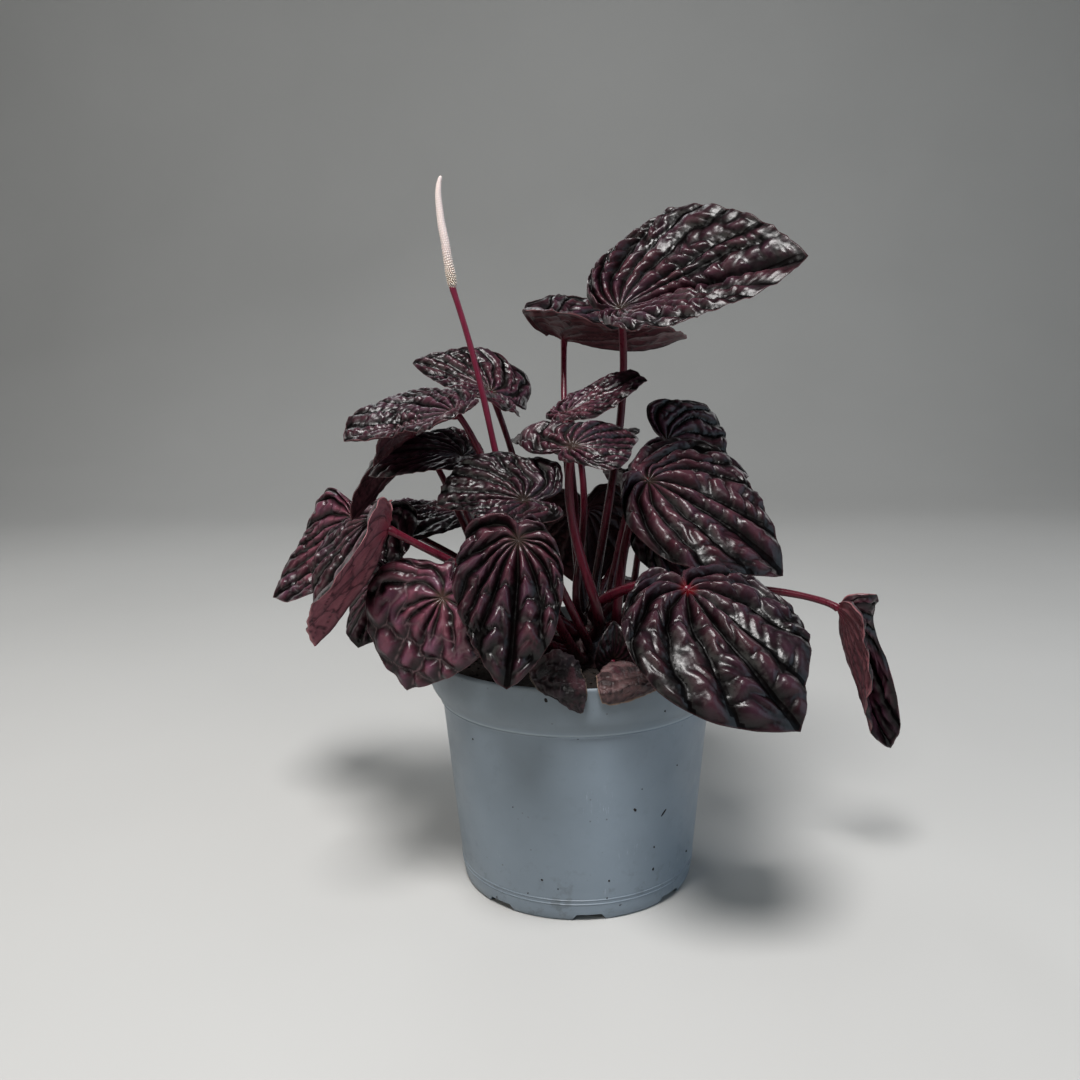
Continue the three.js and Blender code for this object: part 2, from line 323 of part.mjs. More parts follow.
// ---- young leaf: a folded blade on a short shoot of its own ----
{
  const leaf = {
    at: [13.5, -28.0, 97.5], len: 15.5, dir: [0.1, -0.2, 0.97], nor: [0.1, -0.97, -0.2],
    shape: [0.55, 0.55, -0.4, 0.5, 0.1, 0.04], edge: [0, 0, 0, 0, 0, 0, 0, 0],
  };
  const shoot = stalkGeometry(bezier([[12.6, -24.5, 91.9], [12.6, -24.6, 93.5], [13.0, -26.5, 96.0], [13.7, -28.4, 99.0]]), 1.2, 1.0, 6, 4);
  addMesh('young_leaf', geometryOf(solid(bladeGeometry(leaf, 14)).add(solid(shoot))), bladeMat);
}

// ---- withered leaves: crumpled sheets that lie on the soil and hang over the rim ----
// net: rows of points on the sheet. half: half its thickness.
const sheetGeometry = (net, half) => {
  const rows = net.length, cols = net[0].length;
  const g = new THREE.BoxGeometry(1, 1, 1, rows - 1, cols - 1, 1);
  for (const k of ['normal', 'uv']) g.deleteAttribute(k);
  const m = mergeVertices(g, 1e-4), p = m.attributes.position;
  const at = (i, j) => new THREE.Vector3(...net[Math.min(Math.max(i, 0), rows - 1)][Math.min(Math.max(j, 0), cols - 1)]);
  for (let k = 0; k < p.count; k++) {
    const i = Math.round((p.getX(k) + 0.5) * (rows - 1)), j = Math.round((p.getY(k) + 0.5) * (cols - 1));
    const n = at(i + 1, j).sub(at(i - 1, j)).cross(at(i, j + 1).sub(at(i, j - 1))).normalize();
    const v = at(i, j).addScaledVector(n, Math.sign(p.getZ(k)) * half);
    p.setXYZ(k, v.x, v.y, v.z);
  }
  m.computeVertexNormals();
  return m;
};
addMesh('withered_leaf_1', sheetGeometry([
  [[-11.0, -32.0, 92.2], [-9.5, -32.4, 92.3], [-7.6, -32.9, 92.4], [-5.7, -33.3, 92.3], [-4.2, -33.5, 92.2]],
  [[-17.6, -42.3, 99.2], [-13.9, -44.7, 103.0], [-8.7, -47.0, 106.6], [-3.3, -46.7, 104.9], [-0.1, -45.8, 99.7]],
  [[-17.9, -48.6, 98.2], [-13.2, -51.1, 101.6], [-7.8, -53.2, 103.6], [-2.8, -52.7, 101.9], [1.1, -51.8, 98.9]],
  [[-17.2, -56.0, 98.4], [-12.6, -58.3, 99.8], [-7.3, -59.8, 100.3], [-2.0, -60.0, 99.8], [1.9, -59.2, 98.7]],
  [[-14.7, -60.0, 96.3], [-10.9, -61.4, 96.7], [-6.3, -62.9, 96.8], [-2.1, -62.8, 96.3], [2.1, -62.0, 96.3]],
  [[-8.8, -61.0, 94.0], [-6.7, -62.0, 93.9], [-3.9, -63.2, 93.5], [-1.1, -62.8, 93.0], [1.7, -61.6, 92.9]],
  [[-3.9, -61.4, 91.1], [-2.9, -61.8, 90.8], [-1.5, -62.4, 90.6], [-0.4, -62.2, 90.6], [0.7, -61.6, 90.7]],
  [[-0.8, -61.5, 88.8], [-0.4, -61.6, 88.7], [-0.1, -61.7, 88.6], [0.3, -61.6, 88.7], [0.6, -61.5, 88.8]],
], 0.55), witheredMat);
addMesh('withered_leaf_2', sheetGeometry([
  [[10.3, -37.4, 92.2], [6.2, -50.4, 98.4], [5.9, -56.5, 98.9], [5.7, -59.9, 98.5], [6.3, -62.1, 95.6], [7.4, -61.1, 91.9]],
  [[12.2, -36.8, 92.3], [9.4, -46.9, 101.0], [8.9, -54.1, 100.2], [8.9, -59.7, 98.9], [9.4, -62.5, 95.6], [10.6, -60.8, 91.0]],
  [[14.9, -35.8, 92.4], [13.6, -43.7, 101.4], [13.4, -51.6, 100.5], [13.2, -58.9, 99.0], [13.7, -61.5, 96.0], [14.5, -59.8, 91.3]],
  [[18.0, -34.4, 92.3], [19.0, -40.6, 100.0], [18.6, -49.4, 99.3], [18.3, -57.5, 98.8], [18.4, -59.8, 96.2], [18.9, -58.4, 92.2]],
  [[20.3, -33.0, 92.2], [23.9, -39.1, 97.9], [23.5, -47.3, 97.8], [23.0, -55.5, 98.4], [22.8, -57.9, 96.4], [23.3, -56.7, 93.1]],
  [[21.9, -32.0, 92.1], [28.8, -38.1, 96.0], [28.1, -44.7, 96.5], [27.2, -53.4, 98.1], [26.9, -55.7, 96.8], [27.0, -54.9, 93.9]],
], 0.55), witheredMat);

// ---- flower: a bare stalk and one pale spike ----
addMesh('flower_stalk', stalkGeometry(bezier([[-0.0, -4.9, 110.4], [-37.1, -11.4, 164.2], [-24.8, -7.0, 172.5], [-44.2, -13.0, 236.4]]), 1.5, 1.25, 6, 12), stalkMat);
{
  const curve = new THREE.CatmullRomCurve3([
    [-44.30, -12.99, 236.70], [-44.47, -13.20, 239.24], [-45.15, -13.70, 243.54], [-45.86, -14.20, 248.88], [-46.57, -14.60, 254.20], [-47.50, -14.90, 259.48], [-48.04, -15.10, 264.74], [-48.33, -15.30, 269.62], [-48.01, -15.40, 273.42], [-47.21, -15.50, 276.62],
  ].map((q) => new THREE.Vector3(...q)));
  addMesh('flower_spike', stalkGeometry(curve, SPIKE_RADIUS_FOOT, SPIKE_RADIUS_TIP, 8, 10), flowerMat);
}

export default root;
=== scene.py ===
import math

import bmesh
import bpy
import numpy as np
from mathutils import Matrix, Vector


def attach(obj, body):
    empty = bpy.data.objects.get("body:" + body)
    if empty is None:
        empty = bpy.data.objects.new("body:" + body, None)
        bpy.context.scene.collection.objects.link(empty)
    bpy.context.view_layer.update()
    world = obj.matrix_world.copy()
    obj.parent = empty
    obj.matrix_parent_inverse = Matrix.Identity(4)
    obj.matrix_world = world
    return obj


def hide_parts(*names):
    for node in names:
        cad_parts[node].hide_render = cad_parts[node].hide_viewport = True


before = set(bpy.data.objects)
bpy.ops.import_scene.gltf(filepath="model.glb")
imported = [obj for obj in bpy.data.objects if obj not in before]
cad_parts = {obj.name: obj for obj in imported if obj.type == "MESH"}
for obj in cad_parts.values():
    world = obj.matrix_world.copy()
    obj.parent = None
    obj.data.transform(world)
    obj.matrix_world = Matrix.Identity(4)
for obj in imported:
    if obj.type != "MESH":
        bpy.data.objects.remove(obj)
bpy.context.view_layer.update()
MM = 0.001
TAU = 2 * math.pi

# ------------------------------------------------------------------ noise
def _hash(i, j, k, seed):
    n = (i.astype(np.int64) * 73856093) ^ (j.astype(np.int64) * 19349663) ^ (k.astype(np.int64) * 83492791) ^ (seed * 2654435761)
    n = (n ^ (n >> 13)) * 1274126177 & 0xFFFFFFFF
    n = (n ^ (n >> 16)) * 2246822519 & 0xFFFFFFFF
    n = n ^ (n >> 15)
    return (n & 0xFFFFFF) / float(0xFFFFFF) * 2 - 1


def noise(p, scale, seed=0):
    """Smooth value noise in -1..1 at points p (n, 3)."""
    q = np.asarray(p, float) / scale + 100.0
    i = np.floor(q)
    f = q - i
    f = f * f * f * (f * (f * 6 - 15) + 10)
    i = i.astype(np.int64)
    out = 0
    for dx in (0, 1):
        wx = f[:, 0] if dx else 1 - f[:, 0]
        for dy in (0, 1):
            wy = f[:, 1] if dy else 1 - f[:, 1]
            for dz in (0, 1):
                wz = f[:, 2] if dz else 1 - f[:, 2]
                out = out + wx * wy * wz * _hash(i[:, 0] + dx, i[:, 1] + dy, i[:, 2] + dz, seed)
    return out


def fbm(p, scale, octaves=3, seed=0):
    total, amp, norm = 0, 1.0, 0.0
    for o in range(octaves):
        total = total + amp * noise(p, scale, seed + 17 * o)
        norm += amp
        amp *= 0.5
        scale *= 0.5
    return total / norm


def smooth(a, b, x):
    t = np.clip((x - a) / (b - a), 0, 1)
    return t * t * (3 - 2 * t)


def near_two(p, seeds):
    """Distances from each point to its nearest and second nearest seed."""
    f1 = np.empty(len(p))
    f2 = np.empty(len(p))
    for a in range(0, len(p), 4096):
        d = np.sqrt(((p[a:a + 4096, None, :] - seeds[None]) ** 2).sum(-1))
        d.partition(1, axis=1)
        f1[a:a + 4096] = d[:, 0]
        f2[a:a + 4096] = d[:, 1]
    return f1, f2


# ------------------------------------------------------------------ materials
def new_material(name):
    m = bpy.data.materials.new(name)
    m.use_nodes = True
    nt = m.node_tree
    nt.nodes.clear()
    out = nt.nodes.new("ShaderNodeOutputMaterial")
    b = nt.nodes.new("ShaderNodeBsdfPrincipled")
    nt.links.new(b.outputs[0], out.inputs[0])
    return m, nt, b


class Nodes:
    """Short calls for building a node tree."""

    def __init__(self, nt):
        self.nt = nt
        tc = nt.nodes.new("ShaderNodeTexCoord")
        self.co = tc.outputs["Object"]

    def link(self, a, b):
        self.nt.links.new(a, b)

    def put(self, socket, value):
        if hasattr(value, "links"):
            self.link(value, socket)
        else:
            socket.default_value = value

    def attr(self, name):
        n = self.nt.nodes.new("ShaderNodeAttribute")
        n.attribute_name = name
        return n.outputs["Fac"]

    def noise(self, scale, detail=2, rough=0.5, vector=None, distortion=0.0):
        n = self.nt.nodes.new("ShaderNodeTexNoise")
        n.inputs["Scale"].default_value = scale
        n.inputs["Detail"].default_value = detail
        n.inputs["Roughness"].default_value = rough
        n.inputs["Distortion"].default_value = distortion
        self.link(vector or self.co, n.inputs["Vector"])
        return n.outputs["Fac"]

    def voronoi(self, scale, feature="F1", vector=None, randomness=1.0):
        n = self.nt.nodes.new("ShaderNodeTexVoronoi")
        n.feature = feature
        n.inputs["Scale"].default_value = scale
        n.inputs["Randomness"].default_value = randomness
        self.link(vector or self.co, n.inputs["Vector"])
        return n.outputs["Distance"]

    def math(self, op, a, b=0.0, c=0.0):
        n = self.nt.nodes.new("ShaderNodeMath")
        n.operation = op
        self.put(n.inputs[0], a)
        self.put(n.inputs[1], b)
        self.put(n.inputs[2], c)
        return n.outputs[0]

    def ramp(self, fac, stops, interpolation="LINEAR"):
        n = self.nt.nodes.new("ShaderNodeValToRGB")
        n.color_ramp.interpolation = interpolation
        e = n.color_ramp.elements
        while len(e) < len(stops):
            e.new(0.5)
        for el, (pos, col) in zip(e, stops):
            el.position = pos
            el.color = (*col, 1) if len(col) == 3 else col
        self.link(fac, n.inputs[0])
        return n.outputs["Color"]

    def range(self, value, a, b, c=0.0, d=1.0):
        n = self.nt.nodes.new("ShaderNodeMapRange")
        n.interpolation_type = "SMOOTHSTEP"
        self.put(n.inputs["Value"], value)
        n.inputs["From Min"].default_value = a
        n.inputs["From Max"].default_value = b
        n.inputs["To Min"].default_value = c
        n.inputs["To Max"].default_value = d
        return n.outputs[0]

    def mix(self, fac, a, b, mode="MIX"):
        n = self.nt.nodes.new("ShaderNodeMix")
        n.data_type = "RGBA"
        n.blend_type = mode
        self.put(n.inputs[0], fac)
        for s, v in ((n.inputs[6], a), (n.inputs[7], b)):
            if hasattr(v, "links"):
                self.link(v, s)
            else:
                s.default_value = (*v, 1)
        return n.outputs[2]

    def bump(self, height, strength, distance, normal=None):
        n = self.nt.nodes.new("ShaderNodeBump")
        n.inputs["Strength"].default_value = strength
        n.inputs["Distance"].default_value = distance
        self.link(height, n.inputs["Height"])
        if normal is not None:
            self.link(normal, n.inputs["Normal"])
        return n.outputs[0]

    def scaled(self, x, y, z):
        n = self.nt.nodes.new("ShaderNodeMapping")
        n.inputs["Scale"].default_value = (x, y, z)
        self.link(self.co, n.inputs["Vector"])
        return n.outputs[0]


# ------------------------------------------------------------------ mesh making
def make_mesh(name, verts, quads=None, tris=None, mats=(), mat_index=None, attrs=None, uv=None):
    """verts in metres. attrs: {name: value per vertex}. uv: (loops, 2) in the order quads, tris."""
    me = bpy.data.meshes.new(name)
    verts = np.asarray(verts, np.float32)
    parts, starts, at = [], [], 0
    for f in (quads, tris):
        if f is not None and len(f):
            f = np.asarray(f, np.int32)
            parts.append(f.ravel())
            starts.append(at + np.arange(len(f)) * f.shape[1])
            at += f.size
    me.vertices.add(len(verts))
    me.vertices.foreach_set("co", verts.ravel())
    me.loops.add(at)
    me.loops.foreach_set("vertex_index", np.concatenate(parts))
    starts = np.concatenate(starts).astype(np.int32)
    me.polygons.add(len(starts))
    me.polygons.foreach_set("loop_start", starts)
    for m in mats:
        me.materials.append(m)
    if mat_index is not None:
        me.polygons.foreach_set("material_index", np.asarray(mat_index, np.int32))
    if uv is not None:
        layer = me.uv_layers.new(name="OFBake")
        layer.data.foreach_set("uv", np.asarray(uv, np.float32).ravel())
    me.update(calc_edges=True)
    for k, v in (attrs or {}).items():
        a = me.attributes.new(k, "FLOAT", "POINT")
        a.data.foreach_set("value", np.asarray(v, np.float32))
    me.shade_smooth()
    ob = bpy.data.objects.new(name, me)
    bpy.context.scene.collection.objects.link(ob)
    return ob


def piece(ob, slot, *nodes):
    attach(ob, "root")
    if nodes:
        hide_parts(*nodes)
    return ob


def bezier(P, t):
    t = np.asarray(t)[:, None]
    P = [np.array(p, float) for p in P]
    return ((1 - t) ** 3) * P[0] + 3 * (1 - t) ** 2 * t * P[1] + 3 * (1 - t) * t * t * P[2] + t ** 3 * P[3]


def spline(points, n):
    """Catmull-Rom through the points, n samples."""
    p = np.array(points, float)
    p = np.vstack([2 * p[0] - p[1], p, 2 * p[-1] - p[-2]])
    t = np.linspace(0, len(p) - 3 - 1e-9, n)
    i = t.astype(int)
    f = (t - i)[:, None]
    a, b, c, d = p[i], p[i + 1], p[i + 2], p[i + 3]
    return 0.5 * (2 * b + (c - a) * f + (2 * a - 5 * b + 4 * c - d) * f * f + (3 * b - a - 3 * c + d) * f ** 3)


def tube(path, radius, sides, wobble=None):
    """A closed tube along a path (n, 3) in mm, radius per point. Returns verts, quads, tris, along, uv."""
    path = np.asarray(path, float)
    n = len(path)
    T = np.gradient(path, axis=0)
    T /= np.linalg.norm(T, axis=1)[:, None]
    N = np.zeros_like(T)
    ref = np.array([0.0, 1.0, 0.0]) if abs(T[0, 1]) < 0.8 else np.array([1.0, 0, 0])
    N[0] = ref - T[0] * (ref @ T[0])
    N[0] /= np.linalg.norm(N[0])
    for i in range(1, n):
        v = N[i - 1] - T[i] * (N[i - 1] @ T[i])
        N[i] = v / np.linalg.norm(v)
    B = np.cross(T, N)
    a = np.arange(sides) * TAU / sides
    ring = np.cos(a)[None, :, None] * N[:, None, :] + np.sin(a)[None, :, None] * B[:, None, :]
    r = np.broadcast_to(np.asarray(radius, float)[:, None], (n, sides)).copy()
    if wobble is not None:
        r = r * wobble(np.linspace(0, 1, n)[:, None], a[None, :], path)
    V = path[:, None, :] + ring * r[:, :, None]
    verts = np.vstack([V.reshape(-1, 3), path[:1], path[-1:]])
    i, j = np.meshgrid(np.arange(n - 1), np.arange(sides), indexing="ij")
    j2 = (j + 1) % sides
    quads = np.stack([i * sides + j, i * sides + j2, (i + 1) * sides + j2, (i + 1) * sides + j], -1).reshape(-1, 4)
    s = np.arange(sides)
    c0, c1 = n * sides, n * sides + 1
    tris = np.vstack([np.stack([np.full(sides, c0), (s + 1) % sides, s], -1),
                      np.stack([np.full(sides, c1), (n - 1) * sides + s, (n - 1) * sides + (s + 1) % sides], -1)])
    along = np.concatenate([np.repeat(np.linspace(0, 1, n), sides), [0.0, 1.0]])
    # one island for the wall, one small disc at each end
    ju, iu = (j / sides).reshape(-1), (i / (n - 1)).reshape(-1)
    du, di = 1 / sides, 1 / (n - 1)
    q = np.stack([np.stack([ju, iu], -1), np.stack([ju + du, iu], -1), np.stack([ju + du, iu + di], -1), np.stack([ju, iu + di], -1)], 1)
    q = np.stack([0.02 + 0.80 * q[..., 0], 0.02 + 0.96 * q[..., 1]], -1)
    b0, b1 = TAU * s / sides, TAU * (s + 1) / sides

    def disc(cy, flip):
        c = np.tile(np.array([[0.91, cy]]), (sides, 1))
        e0 = np.stack([0.91 + 0.06 * np.cos(b0), cy + 0.06 * np.sin(b0)], -1)
        e1 = np.stack([0.91 + 0.06 * np.cos(b1), cy + 0.06 * np.sin(b1)], -1)
        return np.stack([c, e1, e0] if flip else [c, e0, e1], 1)

    uv = np.vstack([q.reshape(-1, 2), disc(0.2, True).reshape(-1, 2), disc(0.7, False).reshape(-1, 2)])
    return verts, quads, tris, along, uv


# ------------------------------------------------------------------ leaf blades
HEART_U = np.array([-0.10, -0.20, -0.28, -0.31, -0.27, -0.13, 0.08, 0.30, 0.50, 0.68, 0.83, 0.935, 1.0])
HEART_V = np.array([0.0, 0.045, 0.13, 0.25, 0.37, 0.485, 0.545, 0.53, 0.45, 0.33, 0.195, 0.08, 0.0])


def _heart_table():
    t = np.linspace(0, len(HEART_U) - 1, 400)
    u = np.interp(t, range(len(HEART_U)), HEART_U)
    v = np.interp(t, range(len(HEART_U)), HEART_V)
    a, r = np.arctan2(v, u), np.hypot(u, v)
    o = np.argsort(a)
    th = np.arange(720) * TAU / 720
    full = np.interp(np.abs((th + math.pi) % TAU - math.pi), a[o], r[o])
    # rounds the corners of the outline a little, but not the tip
    k = np.exp(-0.5 * (np.arange(-24, 25) / 7.0) ** 2)
    k /= k.sum()
    soft = np.convolve(np.concatenate([full[-24:], full, full[:24]]), k, "valid")
    w = smooth(0.10, 0.30, np.abs((th + math.pi) % TAU - math.pi))
    return th, full * (1 - w) + soft * w


HEART_T, HEART_R = _heart_table()


def outline_radius(L, edge, th):
    base = np.interp(th % TAU, np.append(HEART_T, TAU), np.append(HEART_R, HEART_R[0]))
    e = np.array(edge, float)
    n = len(e)
    x = (th % TAU) / TAU * n
    i = np.floor(x).astype(int)
    t = x - i
    a, b, c, d = e[(i - 1) % n], e[i % n], e[(i + 1) % n], e[(i + 2) % n]
    return L * base * np.exp(0.5 * (2 * b + (c - a) * t + (2 * a - 5 * b + 4 * c - d) * t * t + (3 * b - a - 3 * c + d) * t ** 3))


def bent(shape, L, u, v, h):
    fl, fr, curl, droop, twist, sweep = shape
    w, side = np.abs(v), np.sign(v)
    a = np.where(v >= 0, fl, fr)
    k = curl / L if abs(curl / L) > 1e-6 else 1e-6
    e = 0.05 * L
    across = side * (np.sin(a + k * w) - np.sin(a)) / k + sweep * u * u / L
    rise = ((np.cos(a) - np.cos(a + k * w)) / k) * (w / (w + e)) + h
    q = droop / L if abs(droop) > 1e-6 else 1e-6 / L
    t = twist * u / L
    y = across * np.cos(t) - rise * np.sin(t)
    z = across * np.sin(t) + rise * np.cos(t)
    return np.stack([np.sin(q * u) / q + z * np.sin(q * u), y, -(1 - np.cos(q * u)) / q + z * np.cos(q * u)], -1)


def vein_angles(n):
    t = np.arange(n + 1) / n
    return 3.38 * (0.66 * t + 0.34 * t ** 1.5)


def vein_field(L, r, th, s, seed, veins=7, curve=1.05, bead=0.42, lump=0.078, split=1.0, uneven=1.0, crest=0.95, mid=0.6, blister=0.0):
    """The furrowed surface of a blade: height 0..1, rise in mm, crease 0..1 and closeness to a vein."""
    rng = np.random.default_rng(seed)
    rho = s * r
    signed = (th + math.pi) % TAU - math.pi
    flat = np.stack([rho * np.cos(th), rho * np.sin(th), np.full_like(rho, seed * 3.1)], -1)
    wob = 0.15 * uneven * noise(flat, 0.20 * L, seed) + 0.065 * uneven * noise(flat, 0.08 * L, seed + 2)
    phi = signed + curve * s ** 1.15 * np.sin(signed) + wob * np.sin(np.clip(np.abs(signed), 0, math.pi)) * smooth(0.05, 0.35, s)
    n = np.zeros_like(phi)
    gap = np.zeros_like(phi)
    tall = np.zeros_like(phi)
    for side in (1, -1):
        v = vein_angles(veins)
        step = np.diff(v)
        v[1:-1] += rng.uniform(-0.27, 0.27, len(v) - 2) * step[:-1] * uneven
        high = rng.uniform(0.66, 1.20, len(v))
        m = (phi * side) >= 0
        x = np.clip(phi[m] * side, 0, v[-1] - 1e-6)
        idx = np.interp(x, v, np.arange(len(v)))
        n[m] = side * idx
        k = np.clip(idx.astype(int), 0, len(v) - 2)
        gap[m] = np.diff(v)[k]
        tall[m] = high[k]
    slope = 1 + curve * s ** 1.15 * np.cos(signed)
    W = gap * rho / np.clip(slope, 0.35, 3)          # the width of a ridge here, in mm
    x = n - np.floor(n)
    one = np.abs(np.sin(math.pi * x)) ** crest
    two = np.abs(np.sin(2 * math.pi * x)) ** crest
    # the widest ridges fork towards the edge
    fork = np.interp(np.floor(n) + 40, np.arange(80), rng.uniform(0.85, 1.35, 80)) * split
    t = smooth(0.17 * L, 0.23 * L, W / fork)
    main = one * (1 - t) + (0.30 + 0.70 * two) * np.minimum(one * 1.6, 1) * t
    # lozenge-shaped bumps along the ridges
    lam = lump * L
    seeds = []
    for k in range(-veins - 1, veins + 1):
        b = rng.uniform(0.2, 1.0) * lam
        while b < 1.25 * L:
            seeds.append(((k + 0.5 + rng.uniform(-0.22, 0.22)) * 1.3 * lam, b))
            if b > 0.40 * L and rng.random() < 0.60:
                seeds.append(((k + 0.5 + rng.choice([-0.34, 0.34])) * 1.3 * lam, b + rng.uniform(-0.4, 0.4) * lam))
            b += rng.uniform(0.75, 1.75) * lam
    chev = 0.75 * lam * (np.abs(x - 0.5) * 2)
    warp = 0.35 * lam * noise(np.stack([n * 2.0, rho / lam, 0 * n], -1), 1.0, seed + 5)
    f1, f2 = near_two(np.stack([n * 1.3 * lam, rho - chev + warp], -1), np.array(seeds))
    c = smooth(0.0, 0.62, (f2 - f1) / lam)
    strong = bead * (0.35 + 0.65 * smooth(0.12 * L, 0.42 * L, rho)) * (0.80 + 0.6 * noise(flat, 0.16 * L, seed + 13))
    H = main * (1 - strong + strong * c)
    A = np.clip(0.52 * W, 0, 0.040 * L + 0.85)
    rise = H * tall * (0.9 + 0.30 * noise(flat, 0.20 * L, seed + 9) + 0.10 * noise(flat, 0.07 * L, seed + 10))
    crease = (1 - smooth(0.0, 0.16, (f2 - f1) / lam)) * smooth(0.10 * L, 0.3 * L, rho)
    if blister > 0:
        # large smooth swellings take over from the ridges towards the tip
        cells = np.array([(0.50 * L * a + rng.uniform(-0.05, 0.05) * L, 0.50 * L * b + rng.uniform(-0.05, 0.05) * L)
                          for a in np.arange(0.3, 2.3, 0.52) for b in np.arange(-1.1, 1.15, 0.47)])
        uv = np.stack([rho * np.cos(th), rho * np.sin(th)], -1)
        uv = uv + 0.035 * L * np.stack([noise(flat, 0.12 * L, seed + 61), noise(flat, 0.12 * L, seed + 62)], -1)
        g1, g2 = near_two(uv, cells)
        dome = smooth(0.0, 0.17 * L, g2 - g1)
        b = blister * smooth(0.30 * L, 0.48 * L, uv[:, 0])
        rise = rise * (1 - b) + b * (0.15 + 0.85 * dome * (0.9 + 0.3 * noise(flat, 0.2 * L, seed + 63)))
        H = H * (1 - b) + b * (0.25 + 0.75 * dome)
        line = 1 - smooth(0.0, 0.014 * L, g2 - g1)
        crease = np.maximum(crease * (1 - b), line * b)
        A = A * (1 - b) + b * (0.060 * L + 0.6)
    lift = A * (rise - 0.5)
    # the furrow along the midrib is the deepest
    off = np.abs(n) * W / (0.022 * L + 0.3)
    lift = lift - mid * np.exp(-off ** 2) * smooth(0.05 * L, 0.2 * L, rho) * (1 - 0.8 * smooth(0.75, 1.0, s))
    H = H * (1 - 0.5 * np.clip(mid / 2.0, 0, 1) * np.exp(-(1.3 * off) ** 2))
    vein = 1 - smooth(0.0, 0.35, np.minimum(one, 0.4 + two * 2 * t + (1 - t)))
    return H, lift, crease, vein


def blade(name, row, NT=208, NR=54, relief=1.0, tone_and_shade=1.0, red=0.0, mats=None, thick=0.9, pale=0.0, frill=1.0, under_relief=0.50, under_tone_and_shade=1.0, **field):
    at, L, d, nrm, shape, edge = row
    seed = int.from_bytes(name.encode()[-2:], "big") % 9973
    Z = np.array(nrm, float)
    Z /= np.linalg.norm(Z)
    X = np.array(d, float)
    X -= Z * (X @ Z)
    X /= np.linalg.norm(X)
    Y = np.cross(Z, X)
    k = np.linspace(0, 1, NR + 1)[1:]
    s = 1 - (1 - k) ** 1.12
    s = np.concatenate([s[:-1], [0.992, 1.0]])
    s = np.unique(np.round(s, 6))
    nr = len(s)
    th = np.arange(NT) * TAU / NT
    S, TH = np.meshgrid(s, th, indexing="ij")
    R = outline_radius(L, edge, TH)
    Sf, Tf, Rf = S.ravel(), TH.ravel(), R.ravel()
    H, lift, crease, vein = vein_field(L, Rf, Tf, Sf, seed, **field)
    lift = lift * relief
    rim = smooth(0.84, 1.0, Sf)
    # each ridge pushes the edge out a little
    Rf = Rf * (1 + 0.014 * (H - 0.55) * smooth(0.86, 1.0, Sf) * frill)
    u, v = Sf * Rf * np.cos(Tf), Sf * Rf * np.sin(Tf)
    flat = np.stack([u, v, np.full_like(u, seed * 7.7)], -1)
    rho = Sf * Rf
    swell = 0.013 * L * noise(flat, 0.30 * L, seed + 31) * smooth(0.05 * L, 0.3 * L, rho) * relief
    fine = (0.11 * noise(flat, 1.6, seed + 41) + 0.20 * noise(flat, 3.4, seed + 42)) * smooth(1.5, 6, rho)
    cup = -0.9 * np.exp(-(rho / (0.055 * L)) ** 2)
    ring = np.stack([np.cos(Tf) * 3, np.sin(Tf) * 3, 0 * Tf], -1)
    wave = 0.016 * L * noise(ring, 0.62, seed + 3) * smooth(0.60, 1.0, Sf) * frill
    wave = wave - 0.018 * L * smooth(0.84, 1.0, Sf) ** 2
    top = lift * (1 - 0.45 * rim) + swell + fine + cup + wave
    under = lift * under_relief * (1 - 0.45 * rim) + swell + cup + wave + 0.5 * fine
    base = bent(shape, L, u, v, 0 * u).reshape(nr, NT, 3)
    ds = np.gradient(base, axis=0)
    dt = np.roll(base, -1, 1) - np.roll(base, 1, 1)
    nn = np.cross(ds, dt)
    nn /= np.maximum(np.linalg.norm(nn, axis=2), 1e-9)[..., None]
    # a soft normal, so that the fold along the midrib doesn't open the surface
    for _ in range(2):
        nn = nn + np.roll(nn, 1, 1) + np.roll(nn, -1, 1)
        nn /= np.linalg.norm(nn, axis=2)[..., None]
    base, nn = base.reshape(-1, 3), nn.reshape(-1, 3)
    T = thick * (0.35 + 0.65 * smooth(1.0, 0.93, Sf))
    last = Sf > 0.9999
    up = base + nn * (top + np.where(last, 0, T / 2))[:, None]
    # the lower face stays below the upper one in the deepest furrows
    dn = base + nn * np.minimum(under - T / 2, top - 0.15 * T)[:, None]
    up[last] = (base + nn * (0.5 * (top + under))[:, None])[last]
    pole = bent(shape, L, np.zeros(1), np.zeros(1), np.zeros(1))[0]
    pole_up, pole_dn = pole + np.array([0, 0, -0.9 + thick / 2]), pole + np.array([0, 0, -0.9 - thick / 2])
    n_up = 1 + nr * NT
    verts = np.vstack([pole_up[None], up, pole_dn[None], dn[: (nr - 1) * NT]])
    i, j = np.meshgrid(np.arange(nr - 1), np.arange(NT), indexing="ij")
    j2 = (j + 1) % NT
    idx = lambda a, b: 1 + a * NT + b  # noqa: E731
    q_up = np.stack([idx(i, j), idx(i + 1, j), idx(i + 1, j2), idx(i, j2)], -1).reshape(-1, 4)
    low = lambda a, b: np.where(a >= nr - 1, idx(a, b), n_up + 1 + a * NT + b)  # noqa: E731
    q_dn = np.stack([low(i, j), low(i, j2), low(i + 1, j2), low(i + 1, j)], -1).reshape(-1, 4)
    jj = np.arange(NT)
    t_up = np.stack([np.zeros(NT, int), idx(0, jj), idx(0, (jj + 1) % NT)], -1)
    t_dn = np.stack([np.full(NT, n_up), low(np.zeros(NT, int), (jj + 1) % NT), low(np.zeros(NT, int), jj)], -1)
    quads, tris = np.vstack([q_up, q_dn]), np.vstack([t_up, t_dn])
    low_h = H[q_up - 1].mean(axis=1)
    mi = np.concatenate([np.where(low_h < 0.17, 2, 0), np.ones(len(q_dn)), np.zeros(NT), np.ones(NT)])
